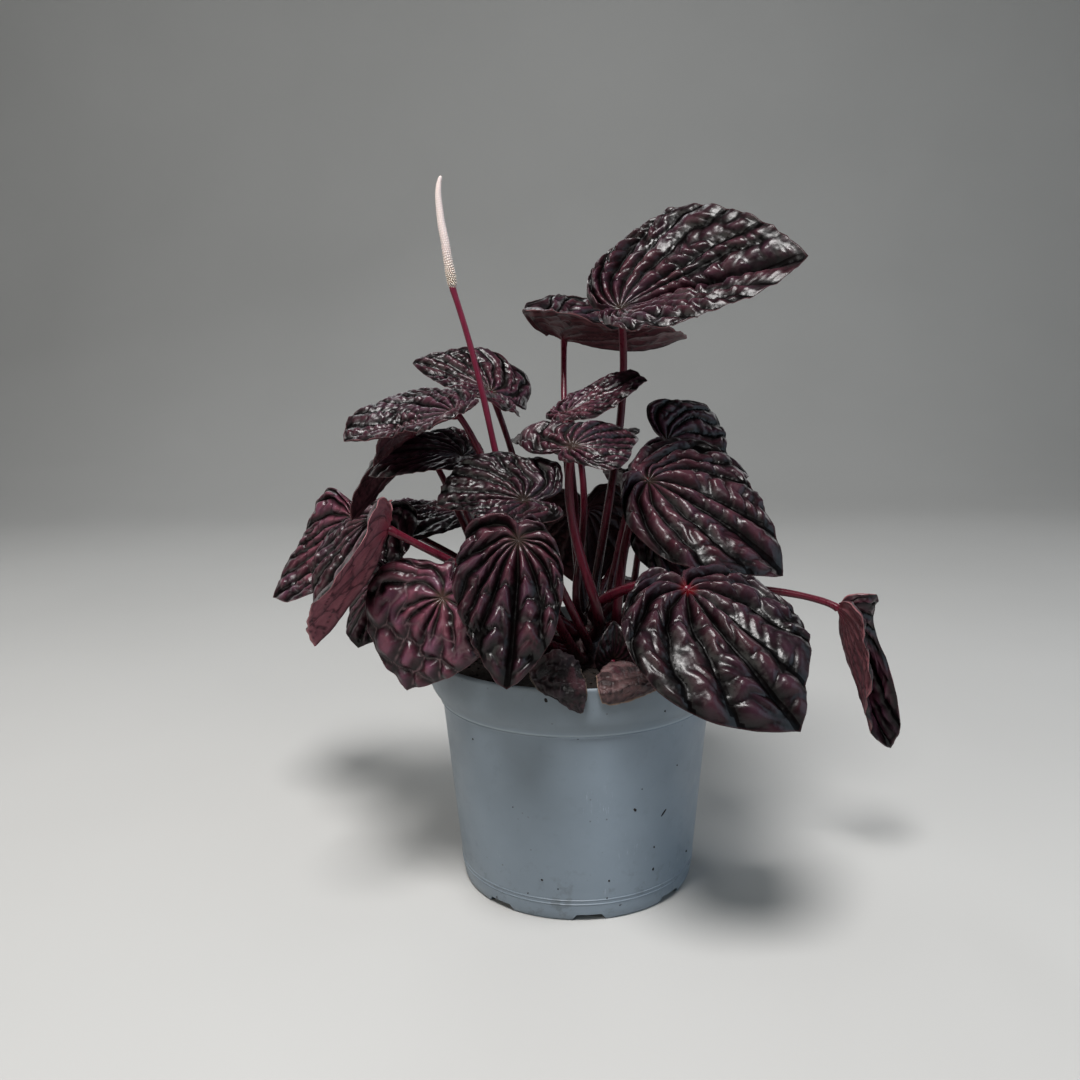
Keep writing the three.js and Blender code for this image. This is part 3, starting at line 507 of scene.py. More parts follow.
    # flat layout: upper face on the left half, lower face on the right half
    fu = np.concatenate([[0.0], u, [0.0], u[: (nr - 1) * NT]])
    fv = np.concatenate([[0.0], v, [0.0], v[: (nr - 1) * NT]])
    kk = min(0.46 / (v.max() - v.min()), 0.96 / (u.max() - u.min()))
    cu, cv = (u.max() + u.min()) / 2, (v.max() + v.min()) / 2
    px, py = (fv - cv) * kk, 0.5 + (fu - cu) * kk
    loops = np.concatenate([quads.ravel(), tris.ravel()])
    side = np.concatenate([np.repeat(mi[: len(quads)], 4), np.repeat(mi[len(quads):], 3)]) == 1
    uv = np.stack([np.where(side, 0.75 - px[loops], 0.25 + px[loops]), py[loops]], -1)
    world = np.array(at, float) + verts @ np.stack([X, Y, Z])

    def both(a, p):
        return np.concatenate([[p], a, [p], a[: (nr - 1) * NT]])

    attrs = {
        "ridge": both(H * (1 - 0.25 * rim), 0.2),
        "crease": both(crease, 0.0),
        "vein": both(vein, 0.0),
        "edge": both(Sf, 0.0),
        "dist": both(rho, 0.0),
        "tone_and_shade": np.full(len(verts), tone_and_shade),
        "under_tone_and_shade": np.full(len(verts), under_tone_and_shade),
        "redness": np.full(len(verts), red),
        "pale": np.full(len(verts), pale),
    }
    return make_mesh(name, world * MM, quads, tris, mats, mi, attrs, uv)


# ------------------------------------------------------------------ leaf materials
def leaf_top_material(name, level, add):
    m, nt, b = new_material(name)
    N = Nodes(nt)
    ridge, dist, edge, tone_and_shade, crease = N.attr("ridge"), N.attr("dist"), N.attr("edge"), N.attr("tone_and_shade"), N.attr("crease")
    big = N.noise(70, 3, 0.6)
    mid = N.noise(330, 3, 0.6)
    # the base colour runs from near black in the furrows and creases to dark wine on the crests: painted shade in the
    # furrows, over a little random tone
    h = N.math("ADD", ridge, N.math("MULTIPLY", N.math("SUBTRACT", mid, 0.5), 0.30))
    h = N.math("SUBTRACT", h, N.math("MULTIPLY", crease, 0.16))
    col = N.ramp(h, [(0.0, (0.0004, 0.0001, 0.0002)), (0.26, (0.0020, 0.0005, 0.0008)), (0.50, (0.0130, 0.0038, 0.0060)), (0.78, (0.033, 0.0108, 0.0164)), (1.0, (0.060, 0.0212, 0.0305))])
    warm = N.mix(N.range(big, 0.35, 0.7), (1.08, 0.90, 0.90), (0.84, 0.92, 1.10))
    col = N.mix(1.0, col, warm, "MULTIPLY")
    # paler lines in the furrows close to the stalk
    lines = N.math("MULTIPLY", N.attr("vein"), N.range(dist, 3.0, 17.0, 1.0, 0.0))
    col = N.mix(N.math("MULTIPLY", lines, 0.30), col, (0.060, 0.052, 0.046))
    col = N.mix(N.math("MULTIPLY", crease, N.math("MULTIPLY", N.attr("pale"), N.range(dist, 8.0, 16.0))), col, (0.080, 0.046, 0.052))
    # the spot over the stalk: olive brown, red on some leaves
    spot = N.mix(N.attr("redness"), (0.026, 0.015, 0.011), (0.15, 0.004, 0.008))
    col = N.mix(N.math("MULTIPLY", N.range(dist, 1.2, 4.6, 1.0, 0.0), 0.9), col, spot)
    # a thin lighter line along the edge
    col = N.mix(N.math("MULTIPLY", N.range(edge, 0.985, 0.997), 0.32), col, (0.10, 0.044, 0.050))
    # each leaf's own tone, times painted shade on leaves in shadow and painted light on lit ones
    col = N.mix(1.0, col, N.ramp(N.math("MULTIPLY", tone_and_shade, 0.5), [(0.0, (0, 0, 0)), (1.0, (2, 2, 2))]), "MULTIPLY")
    N.link(col, b.inputs["Base Color"])
    # shiny, in patches
    N.link(N.range(N.noise(190, 3, 0.6), 0.30, 0.72, 0.28 + add, 0.40 + add), b.inputs["Roughness"])
    b.inputs["Specular IOR Level"].default_value = level
    b.inputs["Coat Weight"].default_value = 0.0
    b.inputs["Coat Roughness"].default_value = 0.20
    lumps = N.bump(N.noise(260, 2, 0.5), 0.22, 0.0009)
    pebble = N.voronoi(620, "SMOOTH_F1")
    n1 = N.bump(pebble, 0.38, 0.00034, lumps)
    n2 = N.bump(N.noise(1500, 2, 0.5), 0.25, 0.00012, n1)
    N.link(n2, b.inputs["Normal"])
    return m


def leaf_under_material():
    m, nt, b = new_material("leaf_lower_face")
    N = Nodes(nt)
    crease, vein, dist, edge, tone_and_shade = N.attr("crease"), N.attr("vein"), N.attr("dist"), N.attr("edge"), N.attr("under_tone_and_shade")
    base = N.ramp(N.noise(160, 3, 0.6), [(0.25, (0.078, 0.022, 0.029)), (0.75, (0.140, 0.048, 0.056))])
    net = N.math("MAXIMUM", crease, N.math("MULTIPLY", vein, 0.9))
    col = N.mix(N.math("MULTIPLY", net, 0.92), base, (0.010, 0.002, 0.004))
    col = N.mix(N.range(dist, 2.0, 9.0, 0.65, 0.0), col, (0.115, 0.009, 0.020))
    col = N.mix(N.math("MULTIPLY", N.range(edge, 0.975, 0.995), 0.6), col, (0.20, 0.085, 0.090))
    # the lower face's own tone, times painted shade on shaded leaves and painted light on lit ones
    col = N.mix(1.0, col, N.ramp(N.math("MULTIPLY", tone_and_shade, 0.5), [(0.0, (0, 0, 0)), (1.0, (2, 2, 2))]), "MULTIPLY")
    N.link(col, b.inputs["Base Color"])
    N.link(N.range(N.noise(420, 2, 0.5), 0.3, 0.7, 0.42, 0.58), b.inputs["Roughness"])
    b.inputs["Specular IOR Level"].default_value = 0.25
    b.inputs["Subsurface Weight"].default_value = 0.06
    b.inputs["Subsurface Radius"].default_value = (0.002, 0.0006, 0.0007)
    n1 = N.bump(net, 0.5, 0.00035)
    N.link(N.bump(N.noise(900, 3, 0.5), 0.25, 0.00015, n1), b.inputs["Normal"])
    return m


def stalk_material(name, dark, light, rough=0.30):
    m, nt, b = new_material(name)
    N = Nodes(nt)
    along = N.attr("along")
    streak = N.noise(1.0, 3, 0.6, vector=N.scaled(900, 900, 60))
    # darker towards the foot: partly the stalk's own colour, partly painted shade low in the crowded crown
    f = N.math("ADD", N.math("MULTIPLY", along, 0.75), N.math("MULTIPLY", N.math("SUBTRACT", streak, 0.5), 0.7))
    col = N.ramp(f, [(0.06, dark), (0.92, light)])
    dots = N.range(N.voronoi(700), 0.0, 0.22, 1.0, 0.0)
    col = N.mix(N.math("MULTIPLY", dots, 0.35), col, tuple(min(1, c * 1.9 + 0.02) for c in light))
    N.link(col, b.inputs["Base Color"])
    N.link(N.range(streak, 0.3, 0.7, rough - 0.05, rough + 0.1), b.inputs["Roughness"])
    b.inputs["Specular IOR Level"].default_value = 0.30
    b.inputs["Coat Weight"].default_value = 0.04
    b.inputs["Coat Roughness"].default_value = 0.20
    b.inputs["Subsurface Weight"].default_value = 0.12
    b.inputs["Subsurface Radius"].default_value = (0.0030, 0.0005, 0.0008)
    N.link(N.bump(streak, 0.35, 0.0002), b.inputs["Normal"])
    return m


LEAF_TOP, LEAF_UNDER = leaf_top_material("leaf_upper_face", 0.32, 0.0), leaf_under_material()
LEAF_FURROW = leaf_top_material("leaf_upper_furrow", 0.07, 0.08)
STALK = stalk_material("leaf_stalk", (0.013, 0.0010, 0.0026), (0.112, 0.0058, 0.0190))


# Each leaf: number, where the stalk meets the blade, stalk-to-tip length, direction, upper face's
# normal, shape (two folds, curl, droop, twist, sweep), outline factors, and the stalk's curve.
LEAVES = [
    ('01', (18.5, -1.9, 229.4), 70.2, (0.9755, -0.1271, 0.1798), (-0.2202, -0.5478, 0.8071),
     (0.299, 0.479, -0.246, -0.308, 0.287, -0.059), (0.02, 0.11, 0.16, 0.19, 0.1, -0.08, -0.21, -0.44, -0.55, -0.52, -0.54, -0.74, -0.93, -0.9, -0.65, -0.34, -0.22, -0.17, -0.16, -0.05),
     ((6.9, -4.0, 112.5), (12.4, 0.1, 150.7), (25.9, 30.0, 190.2), (18.7, -1.0, 228.2), 1.95, 1.5)),
    ('02', (-1.5, 42.3, 217.9), 59.9, (0.9509, 0.1049, -0.2913), (0.2706, 0.1756, 0.9465),
     (0.821, 0.149, -0.067, -0.716, -0.045, -0.001), (-0.1, -0.08, -0.01, 0.1, 0.19, 0.2, 0.15, 0.07, 0.16, 0.16, 0.12, 0.17, 0.21, 0.1, 0.14, 0.05, 0.0, 0.02, 0.1, 0.02),
     ((3.3, 2.2, 110.1), (-1.0, 15.2, 154.9), (-3.9, 10.4, 168.5), (-2.0, 41.9, 216.5), 1.7, 1.25)),
    ('03', (-1.8, -3.1, 189.9), 33.1, (0.9278, -0.0195, 0.3725), (-0.373, -0.038, 0.9271),
     (0.317, 0.016, -0.339, -0.013, 0.318, 0.023), (0.0, 0.14, 0.09, -0.01, -0.02, 0.01, -0.04, -0.09, -0.09, -0.09, -0.13, -0.22, -0.32, -0.32, -0.22, -0.07, 0.06, -0.0, -0.04, -0.0),
     ((2.0, -9.7, 109.3), (-5.3, -23.8, 126.2), (12.0, -2.1, 147.2), (-1.4, -3.0, 188.5), 1.65, 1.2)),
    ('04', (-1.0, -35.0, 180.0), 27.1, (0.9142, 0.2691, 0.303), (-0.1065, -0.5619, 0.8203),
     (0.223, 0.122, -0.249, 0.489, 0.099, -0.049), (-0.0, -0.05, -0.17, -0.3, -0.29, -0.01, 0.36, 0.6, 0.65, 0.67, 0.48, 0.15, -0.19, -0.35, -0.32, -0.1, 0.21, 0.2, 0.1, -0.01),
     ((7.3, -14.2, 103.6), (13.7, -42.8, 117.6), (-7.6, -13.7, 143.0), (-1.3, -34.0, 178.4), 2.1, 1.5)),
    ('05', (39.7, 20.0, 176.1), 37.3, (0.9138, -0.0892, -0.3962), (0.1936, -0.7619, 0.618),
     (0.126, 0.068, -0.141, 0.047, -0.341, 0.037), (-0.01, -0.16, 0.07, 0.22, 0.26, 0.11, 0.07, 0.11, 0.14, -0.08, -0.27, -0.41, -0.33, -0.2, -0.09, -0.01, 0.05, 0.1, 0.13, 0.12),
     ((10.3, 5.2, 103.3), (17.2, 17.3, 109.7), (21.9, 28.0, 165.3), (37.3, 21.1, 174.7), 1.65, 1.2)),
    ('06', (28.5, -13.9, 164.3), 63.1, (0.8237, -0.4784, -0.3042), (-0.072, -0.6205, 0.7809),
     (-0.042, 0.092, -0.381, 0.555, -0.024, -0.039), (0.01, -0.03, -0.06, -0.04, 0.03, 0.03, -0.09, -0.31, -0.38, -0.21, -0.13, -0.42, -0.77, -0.89, -0.78, -0.54, -0.3, -0.13, -0.01, -0.0),
     ((15.5, -8.9, 102.9), (16.1, -24.8, 111.1), (16.9, -7.3, 146.4), (28.2, -12.6, 163.0), 2.1, 1.5)),
    ('07', (37.2, -61.4, 132.7), 62.1, (0.3977, -0.829, -0.3931), (-0.0191, -0.4358, 0.8998),
     (-0.151, 0.106, -0.275, 0.772, 0.119, 0.18), (-0.0, -0.03, 0.02, 0.04, 0.0, -0.1, -0.32, -0.63, -0.73, -0.56, -0.28, -0.12, -0.25, -0.43, -0.4, -0.26, -0.09, 0.06, 0.16, 0.12),
     ((8.4, -11.2, 108.6), (-0.8, -24.3, 119.8), (30.7, -30.2, 132.5), (36.4, -57.0, 131.8), 2.2, 1.6)),
    ('08', (103.4, -15.0, 112.5), 56.4, (0.1745, 0.585, -0.7921), (0.916, -0.3916, -0.0874),
     (1.354, 0.827, 0.0, -1.087, 0.441, -0.409), (0.05, 0.12, -0.45, -0.71, -0.73, -0.66, -0.49, -0.39, -0.59, -0.81, -0.71, -0.43, -0.2, -0.34, -0.42, -0.37, -0.25, -0.1, -0.02, 0.01),
     ((11.4, -1.7, 109.0), (23.3, -5.0, 127.6), (92.9, -8.6, 119.6), (102.2, -14.6, 112.9), 1.9, 1.35)),
    ('09', (-20.9, -66.3, 151.8), 50.1, (-0.0321, -0.5198, -0.8537), (-0.1053, -0.8476, 0.5201),
     (0.036, -0.007, -0.453, 0.42, 0.009, -0.084), (0.02, -0.04, -0.27, -0.48, -0.64, -0.75, -0.81, -0.78, -0.57, -0.22, -0.01, -0.14, -0.27, -0.29, -0.27, -0.27, -0.21, -0.13, -0.08, -0.03),
     ((2.2, -16.8, 94.6), (-1.3, -33.5, 97.4), (-18.9, -51.3, 145.4), (-20.7, -64.8, 151.1), 2.1, 1.5)),
    ('10', (-49.3, -44.0, 126.7), 37.6, (-0.5166, -0.2079, -0.8306), (-0.2919, -0.8692, 0.3991),
     (0.063, 0.203, -0.281, 0.555, -0.141, 0.046), (0.02, 0.04, 0.07, 0.11, 0.16, 0.12, 0.08, 0.11, 0.21, 0.38, 0.55, 0.52, -0.08, -0.09, 0.09, 0.27, 0.31, 0.25, 0.19, 0.11),
     ((-1.7, -14.7, 97.4), (-9.4, -26.8, 100.8), (-41.4, -28.6, 122.2), (-48.5, -42.5, 126.2), 1.9, 1.4)),
    ('11', (-19.3, -41.4, 161.6), 31.8, (-0.9987, 0.0295, 0.0421), (0.0153, -0.6111, 0.7914),
     (0.397, 0.252, -0.074, 0.223, -0.017, -0.019), (0.01, -0.17, -0.12, -0.08, -0.04, -0.0, 0.07, 0.2, 0.37, 0.56, 0.58, 0.53, 0.36, 0.37, 0.27, 0.11, 0.22, 0.24, 0.25, 0.17),
     ((5.1, -16.1, 99.1), (5.1, -33.2, 104.1), (-12.0, -26.9, 136.9), (-18.9, -40.5, 160.0), 1.8, 1.3)),
    ('12', (-43.0, -7.9, 174.4), 33.0, (-0.9466, -0.266, 0.1824), (0.2643, -0.3154, 0.9114),
     (0.219, 0.153, -0.031, 0.6, -0.079, 0.05), (0.14, 0.21, 0.07, -0.02, -0.04, -0.03, -0.02, -0.01, 0.0, 0.01, 0.02, 0.03, 0.02, -0.03, 0.08, 0.14, 0.01, -0.04, -0.06, -0.03),
     ((-4.3, -3.6, 105.7), (-15.1, -3.2, 112.3), (-50.6, 2.8, 139.7), (-43.3, -7.5, 173.0), 1.65, 1.2)),
    ('13', (-47.5, 33.0, 145.5), 36.2, (-0.9024, -0.3981, 0.1647), (0.2052, -0.0612, 0.9768),
     (0.179, 0.004, -0.507, 0.352, -0.251, 0.023), (0.05, 0.19, 0.37, 0.21, 0.0, -0.07, -0.07, -0.05, -0.03, -0.01, -0.0, -0.0, -0.0, 0.0, 0.01, 0.03, 0.06, 0.1, 0.14, 0.07),
     ((-1.6, 7.3, 95.0), (-6.7, 15.0, 109.4), (-35.8, 24.1, 128.0), (-46.2, 32.9, 143.0), 1.65, 1.2)),
    ('14', (-45.2, -22.8, 191.7), 41.9, (-0.9445, -0.0635, -0.3222), (-0.3036, -0.2049, 0.9305),
     (0.366, 0.355, -0.417, -0.271, -0.182, -0.022), (-0.01, -0.16, -0.2, -0.1, 0.07, 0.15, 0.07, -0.06, -0.14, -0.15, -0.13, -0.12, -0.15, -0.21, -0.15, 0.03, 0.18, 0.19, 0.18, 0.18),
     ((-4.3, -11.2, 100.2), (-27.9, -36.7, 108.9), (-22.0, -25.4, 161.7), (-42.6, -22.2, 190.3), 1.65, 1.2)),
    ('15', (-33.1, 26.0, 197.0), 35.5, (-0.8576, 0.1137, 0.5016), (0.4189, -0.4112, 0.8096),
     (0.292, 0.233, -0.001, 0.475, -0.454, -0.075), (0.03, -0.11, -0.16, -0.12, -0.04, 0.06, 0.18, 0.3, 0.41, 0.46, 0.57, 0.65, 0.35, 0.37, 0.42, 0.23, 0.19, 0.08, 0.01, -0.03),
     ((-3.4, 1.9, 104.0), (-14.2, 9.4, 110.5), (-16.4, 25.2, 153.3), (-31.7, 25.9, 193.3), 1.65, 1.2)),
    ('16', (-96.1, 46.4, 140.6), 48.5, (-0.5006, -0.0607, -0.8635), (-0.644, -0.6405, 0.4184),
     (0.254, 0.241, -0.194, -0.632, -0.012, -0.118), (0.01, 0.16, -0.04, -0.05, -0.03, 0.01, 0.03, 0.02, -0.06, -0.25, -0.51, -0.72, -0.81, -0.63, -0.1, 0.01, -0.09, -0.12, -0.13, -0.03),
     ((-3.2, 4.8, 99.5), (-23.3, 8.9, 117.1), (-80.8, 42.1, 145.6), (-93.4, 48.2, 141.5), 1.65, 1.2)),
    ('17', (-69.1, -39.3, 151.5), 48.7, (-0.3476, -0.0523, -0.9362), (-0.9333, 0.1154, 0.34),
     (0.333, 0.472, -0.746, -0.385, 0.216, 0.176), (0.01, 0.1, 0.17, 0.18, 0.05, -0.01, -0.04, -0.11, -0.21, -0.3, -0.37, -0.45, -0.46, -0.33, -0.08, 0.16, 0.21, 0.07, -0.02, -0.03),
     ((-1.4, -11.6, 104.7), (-9.4, -13.3, 114.2), (-50.3, -39.1, 141.0), (-67.3, -39.5, 151.0), 1.9, 1.4)),
    ('18', (-64.4, 8.9, 180.5), 39.0, (-0.6314, -0.1652, -0.7576), (-0.769, 0.2596, 0.5842),
     (0.106, 0.152, -0.082, 0.053, 0.039, 0.011), (0.07, 0.06, -0.11, -0.03, 0.12, 0.13, 0.07, -0.03, -0.18, -0.34, -0.45, -0.35, -0.21, -0.1, -0.03, -0.01, 0.01, 0.04, 0.11, 0.19),
     ((-7.3, -5.1, 98.4), (-39.0, -8.1, 106.9), (-45.2, 3.4, 168.0), (-63.2, 8.6, 179.7), 1.65, 1.2)),
    ('19', (-73.5, -17.4, 127.7), 27.6, (-0.3239, -0.5036, -0.8009), (-0.3308, -0.7329, 0.5946),
     (0.096, -0.016, -0.484, 0.213, -0.073, -0.078), (0.02, 0.06, 0.04, 0.02, 0.01, -0.0, -0.0, -0.0, -0.0, 0.0, 0.0, 0.0, -0.0, -0.01, -0.03, -0.05, -0.06, -0.02, -0.03, 0.09),
     ((-6.7, -9.5, 95.7), (-32.1, -21.6, 100.9), (-57.2, -4.4, 127.3), (-71.1, -15.5, 127.6), 1.65, 1.2)),
    ('20', (-82.1, 12.9, 146.1), 42.5, (-0.5773, -0.5077, -0.6395), (-0.3224, -0.5778, 0.7498),
     (0.086, -0.127, -0.462, 0.436, -0.097, -0.03), (0.04, 0.04, 0.06, 0.08, 0.09, 0.06, 0.04, 0.02, 0.01, 0.01, 0.01, -0.01, -0.05, -0.13, -0.24, -0.29, -0.1, 0.0, 0.01, 0.03),
     ((-8.1, -2.4, 93.9), (-42.0, -6.0, 122.0), (-79.0, 14.5, 124.0), (-81.3, 14.1, 145.1), 1.65, 1.2)),
    ('21', (32.1, -2.0, 146.7), 34.0, (0.6578, -0.3967, -0.6403), (0.1331, -0.7755, 0.6172),
     (0.104, 0.133, -0.373, 0.285, 0.019, -0.003), (0.05, 0.02, -0.0, -0.02, -0.03, -0.03, -0.01, 0.0, 0.01, 0.01, -0.02, -0.09, -0.2, -0.34, -0.42, -0.22, -0.09, -0.01, 0.07, 0.07),
     ((15.0, -2.7, 104.3), (28.4, -0.9, 111.3), (23.2, 14.5, 138.2), (31.3, -0.4, 145.9), 1.65, 1.2)),
    ('22', (34.4, 33.1, 112.4), 51.7, (0.4647, 0.8756, -0.1319), (-0.0095, 0.1539, 0.988),
     (0.133, 0.33, -0.424, 0.642, -0.02, -0.014), (0.04, 0.03, 0.01, 0.02, 0.01, -0.01, 0.01, 0.08, 0.13, 0.11, 0.06, 0.07, 0.07, 0.07, -0.04, -0.03, -0.07, 0.02, 0.01, 0.05),
     ((13.2, 5.1, 98.8), (16.5, 8.7, 100.1), (30.3, 26.1, 107.9), (32.6, 30.0, 110.4), 1.65, 1.2)),
    ('23', (40.0, 61.0, 153.0), 52.0, (0.52, 0.76, -0.38), (0.3, 0.35, 0.89),
     (0.12, 0.1, -0.3, 0.32, -0.06, -0.02), (0.03, 0.02, 0.02, 0.02, 0.01, 0.06, 0.02, 0.03, -0.05, 0.0, 0.04, 0.05, 0.01, -0.08, -0.08, -0.1, -0.04, -0.04, 0.0, -0.01),
     ((10.1, 8.5, 96.0), (2.5, 20.8, 118.0), (41.0, 52.0, 137.1), (39.6, 60.6, 151.9), 1.65, 1.2)),
    ('24', (6.5, 38.0, 145.0), 42.5, (0.06, 0.45, -0.89), (0.0, 0.893, 0.45),
     (0.12, 0.12, -0.3, 0.15, 0.0, 0.03), (0.02, 0.04, 0.06, -0.04, -0.05, -0.02, 0.0, -0.08, -0.14, -0.14, -0.07, 0.02, 0.03, -0.01, -0.08, -0.05, -0.06, -0.06, -0.09, -0.03),
     ((2.8, 8.3, 97.7), (3.6, 17.5, 105.5), (3.2, 22.7, 131.9), (6.5, 36.9, 144.5), 1.65, 1.2)),
    ('25', (0.0, 30.7, 174.2), 52.0, (0.2037, 0.979, -0.0072), (0.0015, 0.007, 1.0),
     (0.166, 0.294, -0.295, 0.47, -0.105, 0.054), (0.07, 0.04, 0.04, 0.05, 0.0, -0.05, -0.11, -0.04, -0.02, 0.02, 0.0, 0.01, -0.02, -0.02, -0.01, 0.02, 0.03, 0.02, 0.04, 0.06),
     ((4.6, 5.7, 105.0), (5.2, 8.3, 111.9), (0.0, 20.1, 159.7), (0.1, 28.3, 172.0), 1.65, 1.2)),
    ('26', (-42.1, 17.7, 108.2), 55.0, (-0.6967, 0.7166, -0.0321), (-0.023, 0.0224, 0.9995),
     (0.052, 0.299, -0.218, 0.727, -0.134, 0.039), (0.01, 0.0, 0.02, -0.04, 0.03, 0.01, 0.07, 0.02, 0.09, 0.08, 0.05, -0.01, -0.01, 0.03, 0.08, 0.04, -0.07, -0.08, -0.03, 0.0),
     ((-6.3, 1.8, 96.7), (-22.2, 10.0, 100.5), (-34.6, 12.9, 102.1), (-39.3, 15.9, 105.9), 1.65, 1.2)),
]
FLOWER_STALK = [(-0.0, -4.9, 110.4), (-37.1, -11.4, 164.2), (-24.8, -7.0, 172.5), (-44.2, -13.0, 236.4)]


# ------------------------------------------------------------------ leaves and their stalks
# number: brightness (the leaf's own tone, with painted shade that darkens leaves in shadow and painted light that
# brightens lit ones), relief, red spot, ridges on each side and how beaded they are
LOOK = {
    "01": dict(tone_and_shade=0.80, relief=1.1, veins=8, bead=0.60, lump=0.070, mid=2.2, crest=0.95, uneven=1.1, split=1.0),
    "02": dict(tone_and_shade=0.95, veins=7, under_relief=0.28, under_tone_and_shade=0.85),
    "03": dict(tone_and_shade=1.30, relief=0.95, veins=7, bead=0.50, lump=0.075),
    "04": dict(tone_and_shade=1.10, relief=0.95, veins=6, bead=0.50, lump=0.075, frill=0.6),
    "05": dict(tone_and_shade=1.35, veins=6, relief=1.1),
    "06": dict(tone_and_shade=0.85, relief=1.35, veins=5, bead=0.50, lump=0.095, crest=1.0, curve=1.3, uneven=1.3, split=1.35),
    "07": dict(tone_and_shade=0.62, relief=1.45, red=1.0, veins=5, bead=0.50, lump=0.100, crest=1.0, curve=1.2, uneven=1.3, split=1.35),
    "08": dict(tone_and_shade=0.95, veins=6, relief=0.9, under_relief=0.25, under_tone_and_shade=1.3),
    "09": dict(tone_and_shade=0.95, relief=1.4, veins=6, lump=0.115, bead=0.66, crest=1.0, curve=0.9, uneven=1.2, split=1.1, mid=0.8),
    "10": dict(tone_and_shade=2.0, relief=0.95, veins=5, bead=0.30, lump=0.13, blister=0.95, pale=0.55, crest=0.85, uneven=1.2, split=1.3),
    "11": dict(tone_and_shade=0.70, veins=7, bead=0.6, relief=1.1),
    "12": dict(tone_and_shade=0.75, veins=7),
    "13": dict(tone_and_shade=1.05, veins=7, bead=0.60, lump=0.060, relief=1.1),
    "14": dict(tone_and_shade=1.15, veins=7, bead=0.62, lump=0.058, relief=1.1),
    "15": dict(tone_and_shade=1.10, veins=7, bead=0.60, lump=0.062),
    "16": dict(tone_and_shade=2.0, relief=0.9, bead=0.6),
    "17": dict(tone_and_shade=1.6, relief=0.8, veins=4, lump=0.15, under_relief=0.25, under_tone_and_shade=1.9),
    "18": dict(tone_and_shade=0.95),
    "19": dict(tone_and_shade=1.05, relief=0.8),
    "20": dict(tone_and_shade=0.9),
    "21": dict(tone_and_shade=0.70),
    # 23 to 25 sit behind the crown and are darkened far below their own colour: painted shade for the dark heart of the
    # plant
    "23": dict(tone_and_shade=0.6, under_tone_and_shade=0.35),
    "24": dict(tone_and_shade=0.5, under_tone_and_shade=0.28),
    "25": dict(tone_and_shade=0.7, under_tone_and_shade=0.35),
}


def stalk_shape(points, r0, r1, n, into=None):
    """Centreline and radii of a stalk, thickened at both ends and carried on to the point into."""
    t = np.linspace(0, 1, n)
    p = bezier(points, t)
    if into is not None:
        end = np.array(into, float)
        extra = [p[-1] + (end - p[-1]) * f for f in (0.5, 1.0)]
        p = np.vstack([p, extra])
    d0 = (p[1] - p[0]) / np.linalg.norm(p[1] - p[0])
    p = np.vstack([p[0] - d0 * 2.5, p])
    along = np.concatenate([[0], np.cumsum(np.linalg.norm(np.diff(p, axis=0), axis=1))])
    L = along[-1]
    r = r0 + (r1 - r0) * along / L
    r = r * (1 + 0.35 * np.exp(-along / 4.0) + 0.28 * np.exp(-(L - along) / 2.2))
    return p, r


def stalk_wobble(seed):
    def f(t, a, path):
        groove = 1 - 0.07 * np.exp(-((np.mod(a - 1.57 + math.pi, TAU) - math.pi) / 0.45) ** 2)
        lumps = 1 + 0.035 * np.sin(t * 40 + seed) * np.sin(2 * a + t * 9 + seed) + 0.02 * np.sin(5 * a + seed)
        return groove * lumps
    return f


FINE = ("01", "06", "07", "09", "10")
for no, at, length, direction, normal, shape, edge, stem in LEAVES:
    small = length < 40
    look = dict(LOOK.get(no, {}))
    top = blade("blade_" + no, (at, length, direction, normal, shape, edge),
                NT=260 if no in FINE else 168 if small else 208, NR=84 if no in FINE else 46 if small else 58,
                mats=(LEAF_TOP, LEAF_UNDER, LEAF_FURROW), **look)
    piece(top, "leaf", f"leaf_{no}_blade")
    P0, P1, P2, P3, r0, r1 = stem
    Zn = np.array(normal) / np.linalg.norm(normal)
    path, radii = stalk_shape((P0, P1, P2, P3), r0, r1, 54, np.array(at) - Zn * 1.1)
    verts, quads, tris, along, uv = tube(path, radii, 18, stalk_wobble(int(no)))
    st = make_mesh("stalk_" + no, verts * MM, quads, tris, (STALK,), None, {"along": along}, uv)
    piece(st, "stem", f"leaf_{no}_petiole")

# the young leaf: small, nearly smooth, very dark
young = blade("young_blade", ((13.5, -28, 97.5), 15.5, (0.1, -0.2, 0.97), (0.1, -0.97, -0.2),
                              (0.55, 0.55, -0.4, 0.5, 0.1, 0.04), (0, 0, 0, 0, 0, 0, 0, 0)),
              NT=96, NR=26, relief=0.45, tone_and_shade=0.35, under_tone_and_shade=0.4, mats=(LEAF_TOP, LEAF_UNDER, LEAF_FURROW), thick=0.8)
piece(young, "leaf", "young_leaf")
path, radii = stalk_shape(((12.6, -24.5, 91.9), (12.6, -24.6, 93.5), (13, -26.5, 96), (13.5, -27.9, 97.6)), 1.2, 1.0, 16)
verts, quads, tris, along, uv = tube(path, radii, 14, stalk_wobble(3))
piece(make_mesh("young_stalk", verts * MM, quads, tris, (STALK,), None, {"along": along}, uv), "stem")


# ------------------------------------------------------------------ crown
def crown_material():
    m, nt, b = new_material("crown_bark")
    N = Nodes(nt)
    col = N.ramp(N.noise(220, 4, 0.6), [(0.3, (0.008, 0.002, 0.003)), (0.7, (0.036, 0.008, 0.010))])
    N.link(col, b.inputs["Base Color"])
    N.link(N.range(N.noise(400, 2, 0.5), 0.3, 0.7, 0.45, 0.7), b.inputs["Roughness"])
    N.link(N.bump(N.noise(500, 4, 0.6), 0.6, 0.0005), b.inputs["Normal"])
    return m


